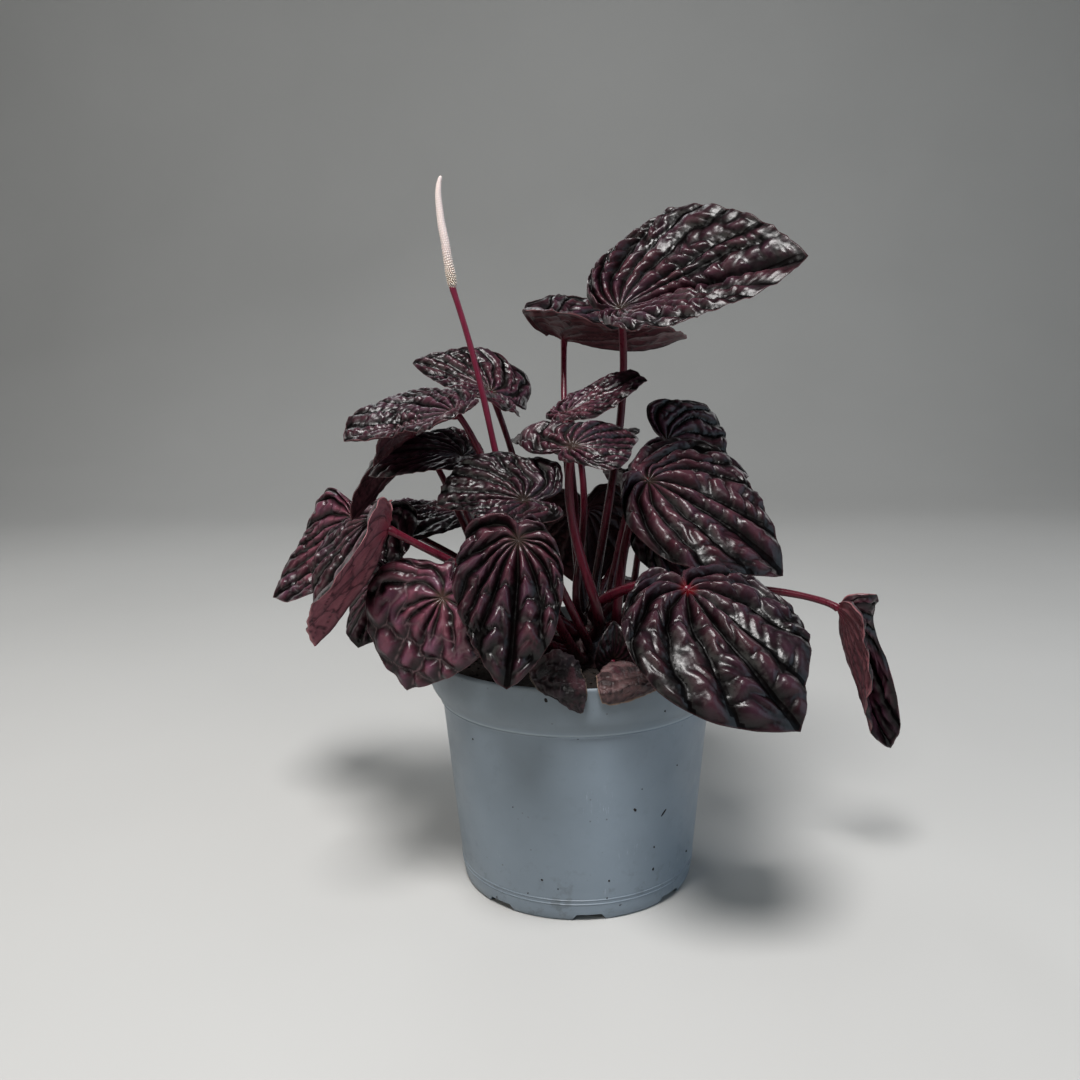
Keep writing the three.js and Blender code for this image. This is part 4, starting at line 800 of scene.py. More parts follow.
def crown_mesh():
    c, R = np.array([5.0, -4.0, 88.0]), np.array([12.5, 12.5, 23.0])
    nt_, nr_ = 96, 48
    a = np.arange(nt_) * TAU / nt_
    e = np.linspace(math.asin(2.2 / 23), math.pi / 2, nr_ + 1)[:-1]
    E, A = np.meshgrid(e, a, indexing="ij")
    D = np.stack([np.cos(E) * np.cos(A), np.cos(E) * np.sin(A), np.sin(E)], -1).reshape(-1, 3)
    rng = np.random.default_rng(5)
    seeds = []
    for i in range(70):
        z = rng.uniform(0.05, 1)
        b = i * 2.39996
        seeds.append((math.sqrt(1 - z * z) * math.cos(b), math.sqrt(1 - z * z) * math.sin(b), z))
    f1, f2 = near_two(D, np.array(seeds))
    h = 1.1 * smooth(0, 0.25, f2 - f1) + 0.5 * noise(D * 10, 2.0, 4)
    P = c + D * R * (0.90 + 0.05 * h)[:, None]
    top = (c + np.array([0, 0, R[2] * 0.96]))[None]
    foot = (c + np.array([0, 0, 1.2]))[None]
    i, j = np.meshgrid(np.arange(nr_ - 1), np.arange(nt_), indexing="ij")
    j2 = (j + 1) % nt_
    quads = np.stack([i * nt_ + j, i * nt_ + j2, (i + 1) * nt_ + j2, (i + 1) * nt_ + j], -1).reshape(-1, 4)
    s = np.arange(nt_)
    n = len(P)
    tris = np.vstack([np.stack([np.full(nt_, n), (nr_ - 1) * nt_ + s, (nr_ - 1) * nt_ + (s + 1) % nt_], -1),
                      np.stack([np.full(nt_, n + 1), (s + 1) % nt_, s], -1)])
    V = np.vstack([P, top, foot])
    # seen from above: the dome on the left, its foot on the right
    q = np.concatenate([quads.ravel(), tris[:nt_].ravel()])
    el = np.concatenate([np.repeat(E.reshape(-1), 1), [math.pi / 2, 0]])
    az = np.concatenate([A.reshape(-1), [0, 0]])
    rad = 0.24 * (1 - el / (math.pi / 2))
    uv1 = np.stack([0.25 + rad[q] * np.cos(az[q]), 0.5 + rad[q] * np.sin(az[q])], -1)
    q2 = tris[nt_:].ravel()
    r2 = np.where(q2 == n + 1, 0.0, 0.22)
    uv2 = np.stack([0.75 + r2 * np.cos(az[q2]), 0.5 + r2 * np.sin(az[q2])], -1)
    return make_mesh("crown_mound", V * MM, quads, tris, (crown_material(),), None, None, np.vstack([uv1, uv2]))


piece(crown_mesh(), "stem", "crown")


# ------------------------------------------------------------------ withered leaves
def withered_material(name, dark, light, line):
    m, nt, b = new_material(name)
    N = Nodes(nt)
    f = N.math("ADD", N.attr("ridge"), N.math("MULTIPLY", N.math("SUBTRACT", N.noise(260, 4, 0.65), 0.5), 0.8))
    col = N.ramp(f, [(0.0, dark), (1.0, light)])
    col = N.mix(N.math("MULTIPLY", N.range(N.noise(110, 3, 0.6), 0.50, 0.68), 0.55), col, (0.055, 0.015, 0.022))
    col = N.mix(N.math("MULTIPLY", N.range(N.attr("edge"), 0.93, 0.99), 0.6), col, line)
    N.link(col, b.inputs["Base Color"])
    N.link(N.range(N.noise(300, 3, 0.5), 0.3, 0.7, 0.38, 0.62), b.inputs["Roughness"])
    b.inputs["Specular IOR Level"].default_value = 0.28
    N.link(N.bump(N.noise(700, 4, 0.6), 0.55, 0.0004), b.inputs["Normal"])
    return m


def spline_rows(P, n):
    """Catmull-Rom along the first axis of an array of points."""
    P = np.concatenate([[2 * P[0] - P[1]], P, [2 * P[-1] - P[-2]]])
    t = np.linspace(0, len(P) - 3 - 1e-9, n)
    i = t.astype(int)
    f = (t - i).reshape((-1,) + (1,) * (P.ndim - 1))
    a, b, c, d = P[i], P[i + 1], P[i + 2], P[i + 3]
    return 0.5 * (2 * b + (c - a) * f + (2 * a - 5 * b + 4 * c - d) * f * f + (3 * b - a - 3 * c + d) * f ** 3)


def withered(name, net, mat, seed, fold=0.8, rib=0.55, torn=0.9):
    NA, NC = 150, 110
    P = spline_rows(np.array(net, float), NA)
    P = spline_rows(P.transpose(1, 0, 2), NC).transpose(1, 0, 2)
    t, c = np.linspace(0, 1, NA), np.linspace(0, 1, NC)
    T, Cc = np.meshgrid(t, c, indexing="ij")
    e = 1 - 2 * np.minimum.reduce([Cc, 1 - Cc, T * 1.2, (1 - T) * 1.2]).clip(0, 0.5)
    # a ragged outline
    mid = P[:, NC // 2][:, None]
    rag = 1 + 0.035 * torn * noise(np.stack([T * 16, np.sign(Cc - 0.5) * 4, 0 * T], -1).reshape(-1, 3), 1.0, seed).reshape(T.shape) * smooth(0.5, 1.0, np.abs(2 * Cc - 1))
    P = mid + (P - mid) * rag[..., None]
    du, dv = np.gradient(P, axis=0), np.gradient(P, axis=1)
    nn = np.cross(du, dv)
    nn /= np.maximum(np.linalg.norm(nn, axis=2), 1e-9)[..., None]
    q = P.reshape(-1, 3)
    creased = lambda sc, k: (1 - np.abs(noise(q, sc, seed + k)) * 2.2).reshape(T.shape)  # noqa: E731
    h = fold * creased(4.6, 1) + 0.35 * creased(2.0, 2) + rib * np.abs(np.sin(Cc * 15 + 2.2 * T + 1.4 * noise(q, 6.0, seed + 5).reshape(T.shape))) ** 0.7
    h = np.clip(h - 0.55, -0.25, 1.5)
    h = h * smooth(1.0, 0.90, e) + 0.20 * noise(q, 1.2, seed + 6).reshape(T.shape)
    h = h.clip(-0.3, 2)
    up, dn = P + nn * (0.35 + h)[..., None], P + nn * (-0.25 + 0.8 * h)[..., None]
    V = np.vstack([up.reshape(-1, 3), dn.reshape(-1, 3)])
    n = NA * NC
    i, j = np.meshgrid(np.arange(NA - 1), np.arange(NC - 1), indexing="ij")
    i, j = i.ravel(), j.ravel()
    f = lambda a_, b_: a_ * NC + b_  # noqa: E731
    qt = np.stack([f(i, j), f(i + 1, j), f(i + 1, j + 1), f(i, j + 1)], -1)
    qb = np.stack([n + f(i, j), n + f(i, j + 1), n + f(i + 1, j + 1), n + f(i + 1, j)], -1)
    ring = np.concatenate([f(np.arange(NA), 0), f(NA - 1, np.arange(1, NC)), f(np.arange(NA - 2, -1, -1), NC - 1), f(0, np.arange(NC - 2, 0, -1))])
    r2 = np.roll(ring, -1)
    qs = np.stack([ring, n + ring, n + r2, r2], -1)
    quads = np.vstack([qt, qb, qs])
    # the flat layout: two faces side by side, the thin edge in a strip below
    U, Vv = 0.02 + 0.44 * Cc.ravel(), 0.12 + 0.86 * T.ravel()
    U2, V2 = np.concatenate([U, 1 - U]), np.concatenate([Vv, Vv])
    uv = np.stack([U2[quads[: len(qt) + len(qb)]], V2[quads[: len(qt) + len(qb)]]], -1).reshape(-1, 2)
    k = np.arange(len(ring))
    x0, x1 = 0.02 + 0.96 * k / len(ring), 0.02 + 0.96 * (k + 1) / len(ring)
    strip = np.stack([np.stack([x0, 0 * x0 + 0.06], -1), np.stack([x0, 0 * x0 + 0.02], -1), np.stack([x1, 0 * x0 + 0.02], -1), np.stack([x1, 0 * x0 + 0.06], -1)], 1)
    uv = np.vstack([uv, strip.reshape(-1, 2)])
    ridge = np.clip(0.25 + 0.75 * h / 1.0, 0, 1).ravel()
    return make_mesh(name, V * MM, quads, None, (mat,), None, {"ridge": np.tile(ridge, 2), "edge": np.tile(e.ravel(), 2)}, uv)


WITHERED_1 = [
    [(-11.0, -32.0, 92.2), (-9.5, -32.4, 92.3), (-7.6, -32.9, 92.4), (-5.7, -33.3, 92.3), (-4.2, -33.5, 92.2)],
    [(-17.6, -42.3, 99.2), (-13.9, -44.7, 103.0), (-8.7, -47.0, 106.6), (-3.3, -46.7, 104.9), (-0.1, -45.8, 99.7)],
    [(-17.9, -48.6, 98.2), (-13.2, -51.1, 101.6), (-7.8, -53.2, 103.6), (-2.8, -52.7, 101.9), (1.1, -51.8, 98.9)],
    [(-17.2, -56.0, 98.4), (-12.6, -58.3, 99.8), (-7.3, -59.8, 100.3), (-2.0, -60.0, 99.8), (1.9, -59.2, 98.7)],
    [(-14.7, -60.0, 96.3), (-10.9, -61.4, 96.7), (-6.3, -62.9, 96.8), (-2.1, -62.8, 96.3), (2.1, -62.0, 96.3)],
    [(-8.8, -61.0, 94.0), (-6.7, -62.0, 93.9), (-3.9, -63.2, 93.5), (-1.1, -62.8, 93.0), (1.7, -61.6, 92.9)],
    [(-3.9, -61.4, 91.1), (-2.9, -61.8, 90.8), (-1.5, -62.4, 90.6), (-0.4, -62.2, 90.6), (0.7, -61.6, 90.7)],
    [(-0.8, -61.5, 88.8), (-0.4, -61.6, 88.7), (-0.1, -61.7, 88.6), (0.3, -61.6, 88.7), (0.6, -61.5, 88.8)]]
WITHERED_2 = [
    [(10.3, -37.4, 92.2), (6.2, -50.4, 98.4), (5.9, -56.5, 98.9), (5.7, -59.9, 98.5), (6.3, -62.1, 95.6), (7.4, -61.1, 91.9)],
    [(12.2, -36.8, 92.3), (9.4, -46.9, 101.0), (8.9, -54.1, 100.2), (8.9, -59.7, 98.9), (9.4, -62.5, 95.6), (10.6, -60.8, 91.0)],
    [(14.9, -35.8, 92.4), (13.6, -43.7, 101.4), (13.4, -51.6, 100.5), (13.2, -58.9, 99.0), (13.7, -61.5, 96.0), (14.5, -59.8, 91.3)],
    [(18.0, -34.4, 92.3), (19.0, -40.6, 100.0), (18.6, -49.4, 99.3), (18.3, -57.5, 98.8), (18.4, -59.8, 96.2), (18.9, -58.4, 92.2)],
    [(20.3, -33.0, 92.2), (23.9, -39.1, 97.9), (23.5, -47.3, 97.8), (23.0, -55.5, 98.4), (22.8, -57.9, 96.4), (23.3, -56.7, 93.1)],
    [(21.9, -32.0, 92.1), (28.8, -38.1, 96.0), (28.1, -44.7, 96.5), (27.2, -53.4, 98.1), (26.9, -55.7, 96.8), (27.0, -54.9, 93.9)]]

W1 = withered_material("withered_dark", (0.0024, 0.0016, 0.0019), (0.026, 0.015, 0.019), (0.11, 0.080, 0.055))
W2 = withered_material("withered_brown", (0.013, 0.0065, 0.0070), (0.105, 0.058, 0.058), (0.30, 0.20, 0.14))
piece(withered("withered_blade_1", WITHERED_1, W1, 11, 0.9, 0.35), "withered_leaf", "withered_leaf_1")
piece(withered("withered_blade_2", WITHERED_2, W2, 23, 0.6, 0.75), "withered_leaf", "withered_leaf_2")


# ------------------------------------------------------------------ flower
def spike_material():
    m, nt, b = new_material("flower_spike_grain")
    N = Nodes(nt)
    grain, along = N.attr("grain"), N.attr("along")
    col = N.ramp(grain, [(0.0, (0.36, 0.24, 0.21)), (0.40, (0.56, 0.46, 0.43)), (1.0, (0.72, 0.63, 0.61))])
    # cream dots below, on a dark red ground near the stalk
    low = N.range(along, 0.10, 0.42, 1.0, 0.0)
    col = N.mix(N.math("MULTIPLY", low, 0.8), col, N.ramp(grain, [(0.25, (0.20, 0.13, 0.085)), (0.70, (0.80, 0.72, 0.60))]))
    foot = N.range(N.math("ADD", along, N.math("MULTIPLY", grain, 0.16)), 0.10, 0.17, 1.0, 0.0)
    col = N.mix(foot, col, (0.050, 0.006, 0.014))
    N.link(col, b.inputs["Base Color"])
    N.link(N.range(N.noise(900, 2, 0.5), 0.3, 0.7, 0.50, 0.68), b.inputs["Roughness"])
    b.inputs["Specular IOR Level"].default_value = 0.35
    b.inputs["Subsurface Weight"].default_value = 0.12
    b.inputs["Subsurface Radius"].default_value = (0.002, 0.0012, 0.0009)
    N.link(N.bump(N.noise(1400, 2, 0.5), 0.3, 0.0002), b.inputs["Normal"])
    return m


flower_path, flower_r = stalk_shape(FLOWER_STALK, 1.5, 1.12, 70, (-44.4, -13.1, 237.6))
verts, quads, tris, along, uv = tube(flower_path, flower_r, 20, stalk_wobble(8))
FLOWER_RED = stalk_material("flower_stalk", (0.045, 0.003, 0.010), (0.155, 0.009, 0.032), 0.32)
piece(make_mesh("spike_stalk", verts * MM, quads, tris, (FLOWER_RED,), None, {"along": along}, uv), "stem", "flower_stalk")

SPIKE = spline([[-44.3, -12.99, 236.4], [-44.47, -13.2, 239.24], [-45.15, -13.7, 243.54], [-45.86, -14.2, 248.88], [-46.57, -14.6, 254.2], [-47.5, -14.9, 259.48], [-48.04, -15.1, 264.74], [-48.33, -15.3, 269.62], [-48.01, -15.4, 273.42], [-47.21, -15.5, 276.62]], 260)
ts = np.linspace(0, 1, 260)
spike_r = np.interp(ts, (0, 0.03, 0.09, 0.16, 0.3, 0.5, 0.7, 0.85, 0.95, 1.0), (0.95, 1.25, 1.66, 1.78, 1.66, 1.52, 1.28, 1.04, 0.80, 0.62))
spike_r = spike_r * np.sqrt(np.clip(1 - np.clip((ts - 0.978) / 0.022, 0, 1) ** 2, 0.02, 1))
SIDES = 84
grain_store = {}


def grains(t, a, path):
    # small flowers in rows that run round the spike, open below and still closed above
    rows, cols = 58, 12
    yy = t * rows + 0.22 * np.sin(a * 2 + t * 31)
    k = np.floor(yy)
    jit = np.sin(k * 12.9898) * 43758.5453
    xx = a / TAU * cols + 0.5 * (k % 2) + 0.35 * (jit - np.floor(jit))
    cell = np.sin(k * 3.17 + np.floor(xx) * 7.31) * 1731.7
    dx, dy = xx - np.floor(xx) - 0.5, yy - k - 0.5
    d = np.sqrt(dx ** 2 + dy ** 2 + 0 * a)
    g = np.clip(1 - (d / 0.52) ** 2, 0, 1) * (0.78 + 0.30 * (cell - np.floor(cell)))
    loose = 1 - 0.75 * smooth(0.05, 0.55, t)
    grain_store["g"] = np.clip(1 - (1 - g) * (0.35 + 0.65 * loose), 0, 1)
    return 1 + (0.30 * loose) * (g - 0.5)


verts, quads, tris, along, uv = tube(SPIKE, spike_r, SIDES, grains)
g = np.concatenate([grain_store["g"].ravel(), [0.2, 0.9]])
piece(make_mesh("spike", verts * MM, quads, tris, (spike_material(),), None, {"along": along, "grain": g}, uv), "flower", "flower_spike")


# ------------------------------------------------------------------ camera
PITCH, ROLL = math.radians(10.763), math.radians(-0.949)
CAM = np.array([-13.5, -428.0, 220.4])
FOCAL = 1092.0                     # in pixels of the 1080 frame
FWD = np.array([0, math.cos(PITCH), -math.sin(PITCH)])
RIGHT0, UP0 = np.array([1.0, 0, 0]), np.array([0, math.sin(PITCH), math.cos(PITCH)])
CAM_X = math.cos(ROLL) * RIGHT0 + math.sin(ROLL) * UP0
CAM_Y = -math.sin(ROLL) * RIGHT0 + math.cos(ROLL) * UP0


def ray(px, py):
    d = FWD + CAM_X * (px - 540) / FOCAL - CAM_Y * (py - 540) / FOCAL
    return d / np.linalg.norm(d)


# ------------------------------------------------------------------ pot
def body_r(z):
    return 47.5 + (54.05 - 47.5) * (z - 4) / (76 - 4)


def pot_profile():
    foot = [[0, 4.6], [30, 4.6], [43.2, 4.6], [43.8, 4.2], [43.8, 0.35], [44.1, 0.0], [45.6, 0.0], [46.1, 0.15], [46.7, 0.9], [47.1, 1.9], [47.5, 4.0]]
    rows = [[body_r(6.3), 6.3]]
    for z in (7.3, 9.0):
        rows += [[body_r(z - 0.28), z - 0.28], [body_r(z) + 0.20, z - 0.1], [body_r(z) + 0.22, z + 0.05], [body_r(z + 0.26), z + 0.26]]
    rows += [[body_r(z), z] for z in (10.5, 14, 20, 28, 36, 44, 52, 60, 67, 72, 75.2)]
    lip = [[54.05, 75.9], [54.12, 76.1], [54.85, 76.25], [54.98, 76.5], [54.8, 76.85]]
    collar = spline([[55.0, 77.3], [56.0, 79.0], [58.0, 82.0], [59.25, 86.0], [59.75, 90.5], [59.95, 94.2]], 22).tolist()
    rim = [[60.05, 95.2], [60.0, 95.9], [59.7, 96.4], [59.25, 96.6], [58.85, 96.5], [58.62, 96.0], [58.55, 95.2]]
    inner = spline([[58.3, 90.5], [57.8, 86.2], [56.4, 82.8], [54.4, 80.0], [52.8, 77.4]], 14).tolist()
    rest = [[51.0, 57.5], [49.2, 37.5], [47.6, 20], [46.5, 8], [46.1, 6.6], [45.4, 6.0], [30, 6.0], [0, 6.0]]
    return foot + rows + lip + collar + rim + inner + rest


POT = pot_profile()


def lathe(name, profile, seg, mats):
    p = np.array(profile, float)
    inner = p[1:-1]
    n = len(inner)
    a = np.arange(seg) * TAU / seg
    V = np.stack([inner[:, 0][:, None] * np.cos(a), inner[:, 0][:, None] * np.sin(a), inner[:, 1][:, None] + 0 * a], -1).reshape(-1, 3)
    V = np.vstack([V, [[0, 0, p[0, 1]]], [[0, 0, p[-1, 1]]]])
    i, j = np.meshgrid(np.arange(n - 1), np.arange(seg), indexing="ij")
    j2 = (j + 1) % seg
    quads = np.stack([i * seg + j, i * seg + j2, (i + 1) * seg + j2, (i + 1) * seg + j], -1).reshape(-1, 4)
    s = np.arange(seg)
    tris = np.vstack([np.stack([np.full(seg, n * seg), (s + 1) % seg, s], -1),
                      np.stack([np.full(seg, n * seg + 1), (n - 1) * seg + s, (n - 1) * seg + (s + 1) % seg], -1)])
    return make_mesh(name, V * MM, quads, tris, mats)


def pot_material():
    m, nt, b = new_material("pot_plastic")
    N = Nodes(nt)
    cloud = N.noise(24, 4, 0.55)
    grain = N.noise(2600, 2, 0.5)
    col = N.ramp(cloud, [(0.30, (0.147, 0.182, 0.216)), (0.70, (0.182, 0.224, 0.266))])
    # dust and water marks, heavier towards the foot
    sep = nt.nodes.new("ShaderNodeSeparateXYZ")
    N.link(N.co, sep.inputs[0])
    z = sep.outputs["Z"]
    low = N.range(z, 0.0, 0.030, 1.0, 0.0)
    dust = N.math("MULTIPLY", N.range(N.noise(180, 5, 0.65), 0.52, 0.70), N.math("ADD", 0.10, N.math("MULTIPLY", low, 0.45)))
    col = N.mix(dust, col, (0.075, 0.085, 0.095))
    specks = N.math("MULTIPLY", N.range(N.voronoi(240), 0.0, 0.13, 1.0, 0.0), N.range(N.noise(60, 2, 0.5), 0.52, 0.60))
    col = N.mix(N.math("MULTIPLY", specks, 0.75), col, (0.03, 0.03, 0.03))
    # pale scuffs in fine streaks, where the pot has been rubbed
    streak = N.range(N.noise(1.0, 4, 0.7, vector=N.scaled(1400, 1400, 120)), 0.60, 0.72)
    where = N.range(N.noise(30, 2, 0.5), 0.56, 0.68)
    scuff = N.math("MULTIPLY", streak, where)
    col = N.mix(N.math("MULTIPLY", scuff, 0.45), col, (0.42, 0.48, 0.55))
    # painted shade: near-black soil colour, patchy, on the inner face above the soil, where the inside of the pot lies
    # in shadow
    flat = nt.nodes.new("ShaderNodeCombineXYZ")
    N.link(sep.outputs["X"], flat.inputs["X"])
    N.link(sep.outputs["Y"], flat.inputs["Y"])
    far = nt.nodes.new("ShaderNodeVectorMath")
    far.operation = "LENGTH"
    N.link(flat.outputs[0], far.inputs[0])
    wall = N.ramp(N.math("MULTIPLY_ADD", z, 52.63, -4.0526), [(0.0, (0.862,) * 3), (0.16, (0.888,) * 3), (0.28, (0.915,) * 3), (0.47, (0.936,) * 3), (0.71, (0.944,) * 3), (1.0, (0.9475,) * 3)])
    inside = N.range(N.math("SUBTRACT", N.math("MULTIPLY", far.outputs["Value"], 16.0), wall), -0.006, 0.002, 1.0, 0.0)
    inside = N.math("MULTIPLY", inside, N.range(N.noise(150, 4, 0.6), 0.25, 0.60, 0.70, 0.96))
    inside = N.math("MULTIPLY", inside, N.range(z, 0.0765, 0.0775))
    col = N.mix(inside, col, (0.014, 0.0105, 0.009))
    # the collar is painted a little darker and greyer, as shade from the leaves above, with a painted highlight in a
    # pale line where it ends
    col = N.mix(N.range(z, 0.0772, 0.0800, 0.0, 0.30), col, (0.088, 0.104, 0.108))
    line = N.math("MULTIPLY", N.range(z, 0.0765, 0.0771), N.range(z, 0.0773, 0.0780, 1.0, 0.0))
    col = N.mix(N.math("MULTIPLY", line, 0.40), col, (0.36, 0.42, 0.45))
    N.link(col, b.inputs["Base Color"])
    rough = N.math("ADD", N.range(N.noise(70, 4, 0.6), 0.3, 0.7, 0.36, 0.46), N.math("MULTIPLY", dust, 0.25))
    N.link(rough, b.inputs["Roughness"])
    b.inputs["Specular IOR Level"].default_value = 0.45
    b.inputs["Subsurface Weight"].default_value = 0.06
    b.inputs["Subsurface Radius"].default_value = (0.002, 0.002, 0.002)
    n1 = N.bump(grain, 0.12, 0.0001)
    n2 = N.bump(N.noise(45, 2, 0.5), 0.08, 0.0008, n1)
    N.link(N.bump(scuff, 0.25, 0.00008, n2), b.inputs["Normal"])
    return m


def cutter_prism(angle):
    """A slanted notch through the foot ring, wider at the floor."""
    wf, wt, h = 13.5 / 2, 9.5 / 2, 2.8
    slope = (wf - wt) / h
    x0, x1 = 40.0, 52.0
    pts = [(-wf - slope, -1), (wf + slope, -1), (wt + 0.25, h - 0.25), (wt - 0.15, h), (-wt + 0.15, h), (-wt - 0.25, h - 0.25)]
    V = np.array([(x, y, z) for x in (x0, x1) for y, z in pts], float)
    c, s = math.cos(angle), math.sin(angle)
    V[:, :2] = V[:, :2] @ np.array([[c, s], [-s, c]])
    n = len(pts)
    me = bpy.data.meshes.new("cut")
    faces = [list(range(n))[::-1], list(range(n, 2 * n))] + [[k, (k + 1) % n, n + (k + 1) % n, n + k] for k in range(n)]
    me.from_pydata((V * MM).tolist(), [], faces)
    return me


def build_pot():
    ob = lathe("pot_shell", POT, 288, (pot_material(),))
    bm = bmesh.new()
    for i in range(8):
        a = math.radians(3.5 + 45 * i - 90)
        bm.from_mesh(cutter_prism(a))
        geom = bmesh.ops.create_cone(bm, cap_ends=True, segments=28, radius1=3.4 * MM, radius2=3.4 * MM, depth=6 * MM)
        bmesh.ops.translate(bm, verts=geom["verts"], vec=(37 * math.cos(a) * MM, 37 * math.sin(a) * MM, 5.3 * MM))
    bmesh.ops.recalc_face_normals(bm, faces=bm.faces)
    me = bpy.data.meshes.new("pot_cuts")
    bm.to_mesh(me)
    bm.free()
    cut = bpy.data.objects.new("pot_cuts", me)
    bpy.context.scene.collection.objects.link(cut)
    bm = bmesh.new()
    bm.from_mesh(ob.data)
    bmesh.ops.recalc_face_normals(bm, faces=bm.faces)
    bm.to_mesh(ob.data)
    bm.free()
    mod = ob.modifiers.new("cut", "BOOLEAN")
    mod.operation = "DIFFERENCE"
    mod.object = cut
    mod.solver = "EXACT"
    bpy.context.view_layer.update()
    dg = bpy.context.evaluated_depsgraph_get()
    new = bpy.data.meshes.new_from_object(ob.evaluated_get(dg))
    ob.modifiers.clear()
    ob.data = new
    ob.data.name = "pot_shell"
    bpy.data.objects.remove(cut)
    new.shade_smooth()
    new.set_sharp_from_angle(angle=math.radians(38))
    return ob


piece(build_pot(), "pot_plastic", "pot")


def outer_r(z):
    p = np.array(POT[8:])
    k = int(np.argmax(p[:, 1]))
    return np.interp(z, p[:k, 1], p[:k, 0])


def on_pot(px, py):
    """The point of the pot's outside that shows at a pixel, and the outward normal there."""
    d = ray(px, py)
    t = np.linspace(300, 520, 4000)
    P = CAM + d * t[:, None]
    inside = np.hypot(P[:, 0], P[:, 1]) < outer_r(P[:, 2])
    k = int(np.argmax(inside)) if inside.any() else int(np.argmin(np.hypot(P[:, 0], P[:, 1]) - outer_r(P[:, 2])))
    q = P[k]
    n = np.array([q[0], q[1], 0.0])
    n /= np.linalg.norm(n)
    return q, n


# dried specks of potting mix on the outside: pixel, width and height in mm, lean in degrees
SPECKS = [(546, 700, 1.15, 1.7, 12), (473, 739, 0.7, 0.7, 0), (635, 810, 1.1, 1.7, 35), (664, 812, 0.75, 4.2, -48), (654, 847, 0.6, 0.9, 10),
          (653, 869, 0.9, 1.4, -15), (609, 881, 0.8, 0.9, 0), (542, 880, 1.0, 0.8, 0), (558, 889, 0.7, 0.5, 0), (686, 851, 0.9, 1.1, 0),
          (642, 789, 0.5, 0.5, 0), (513, 807, 0.5, 0.5, 0), (665, 711, 0.6, 1.0, 20), (578, 739, 0.5, 0.5, 0), (528, 893, 0.8, 0.5, 20),
          (607, 898, 0.7, 0.6, 0), (497, 897, 0.6, 0.8, 0), (677, 765, 0.5, 0.6, 0), (620, 905, 0.6, 0.5, 0)]


def blobs(name, items, mat, subdiv=2, seed=1):
    """Small irregular lumps joined in one mesh: (centre, three axes as columns in mm)."""
    bm = bmesh.new()
    bmesh.ops.create_icosphere(bm, subdivisions=subdiv, radius=1.0)
    base = np.array([v.co[:] for v in bm.verts])
    faces = np.array([[v.index for v in f.verts] for f in bm.faces])
    bm.free()
    V, F = [], []
    for k, (c, M) in enumerate(items):
        b = base * (1 + 0.28 * noise(base + k * 3.7, 0.8, seed + k % 11))[:, None]
        V.append(np.array(c) + b @ np.array(M).T)
        F.append(faces + k * len(base))
    return make_mesh(name, np.vstack(V) * MM, None, np.vstack(F), (mat,))


def soil_material(name, dark, light):
    m, nt, b = new_material(name)
    N = Nodes(nt)
    f = N.math("ADD", N.math("MULTIPLY", N.noise(900, 4, 0.65), 0.6), N.math("MULTIPLY", N.noise(160, 3, 0.6), 0.4))
    col = N.ramp(f, [(0.38, dark), (0.62, light)])
    bits = N.range(N.voronoi(420), 0.0, 0.16, 1.0, 0.0)
    col = N.mix(N.math("MULTIPLY", bits, 0.30), col, (0.06, 0.040, 0.027))
    N.link(col, b.inputs["Base Color"])
    N.link(N.range(f, 0.35, 0.65, 0.75, 0.95), b.inputs["Roughness"])
    b.inputs["Specular IOR Level"].default_value = 0.3
    N.link(N.bump(f, 0.8, 0.0006), b.inputs["Normal"])
    return m


SOIL = soil_material("potting_mix", (0.0030, 0.0020, 0.0018), (0.016, 0.0105, 0.008))
items = []
for px, py, w, h, lean in SPECKS:
    q, n = on_pot(px, py)
    side = np.cross([0, 0, 1.0], n)
    side /= np.linalg.norm(side)
    up = np.cross(n, side)
    c, s = math.cos(math.radians(lean)), math.sin(math.radians(lean))
    # seen from the front the sideways axis points to the left
    a1, a2 = side * c + up * s, -side * s + up * c
    items.append((q + n * 0.02, np.stack([a1 * w / 2, a2 * h / 2, n * 0.28], 1)))
piece(blobs("pot_specks", items, SOIL, 2, 3), "soil")


# ------------------------------------------------------------------ soil
def build_soil():
    NT, NR = 200, 64
    rad = np.linspace(0, 1, NR + 1)[1:] ** 0.8 * 57.55
    a = np.arange(NT) * TAU / NT
    Rr, A = np.meshgrid(rad, a, indexing="ij")
    x, y = Rr.ravel() * np.cos(A.ravel()), Rr.ravel() * np.sin(A.ravel())
    q = np.stack([x, y, 0 * x], -1)
    z = 90.2 + 0.9 * noise(q, 16, 1) + 0.7 * noise(q, 5, 2) + 0.55 * np.abs(noise(q, 2.2, 3)) + 0.3 * noise(q, 1.0, 4) - 0.3
    z = z - 1.0 * smooth(52, 57.5, Rr.ravel())
    top = np.stack([x, y, z], -1)
    side = [np.stack([(57.2 - 0.6 * k) * np.cos(a), (57.2 - 0.6 * k) * np.sin(a), np.full(NT, zz)], -1) for k, zz in enumerate((87.0,))]
    side += [np.stack([rr * np.cos(a), rr * np.sin(a), np.full(NT, zz)], -1) for rr, zz in ((52.0, 77.0), (46.3, 9.0), (45.2, 6.4), (20.0, 6.4))]
    P = np.vstack([top] + side)
    rows = NR + len(side)
    i, j = np.meshgrid(np.arange(rows - 1), np.arange(NT), indexing="ij")
    j2 = (j + 1) % NT
    quads = np.stack([i * NT + j, (i + 1) * NT + j, (i + 1) * NT + j2, i * NT + j2], -1).reshape(-1, 4)
    n = rows * NT
    s = np.arange(NT)
    tris = np.vstack([np.stack([np.full(NT, n), s, (s + 1) % NT], -1), np.stack([np.full(NT, n + 1), (rows - 1) * NT + (s + 1) % NT, (rows - 1) * NT + s], -1)])
    V = np.vstack([P, [[0, 0, 90.0]], [[0, 0, 6.4]]])
    return make_mesh("soil_mix", V * MM, quads, tris, (SOIL,))


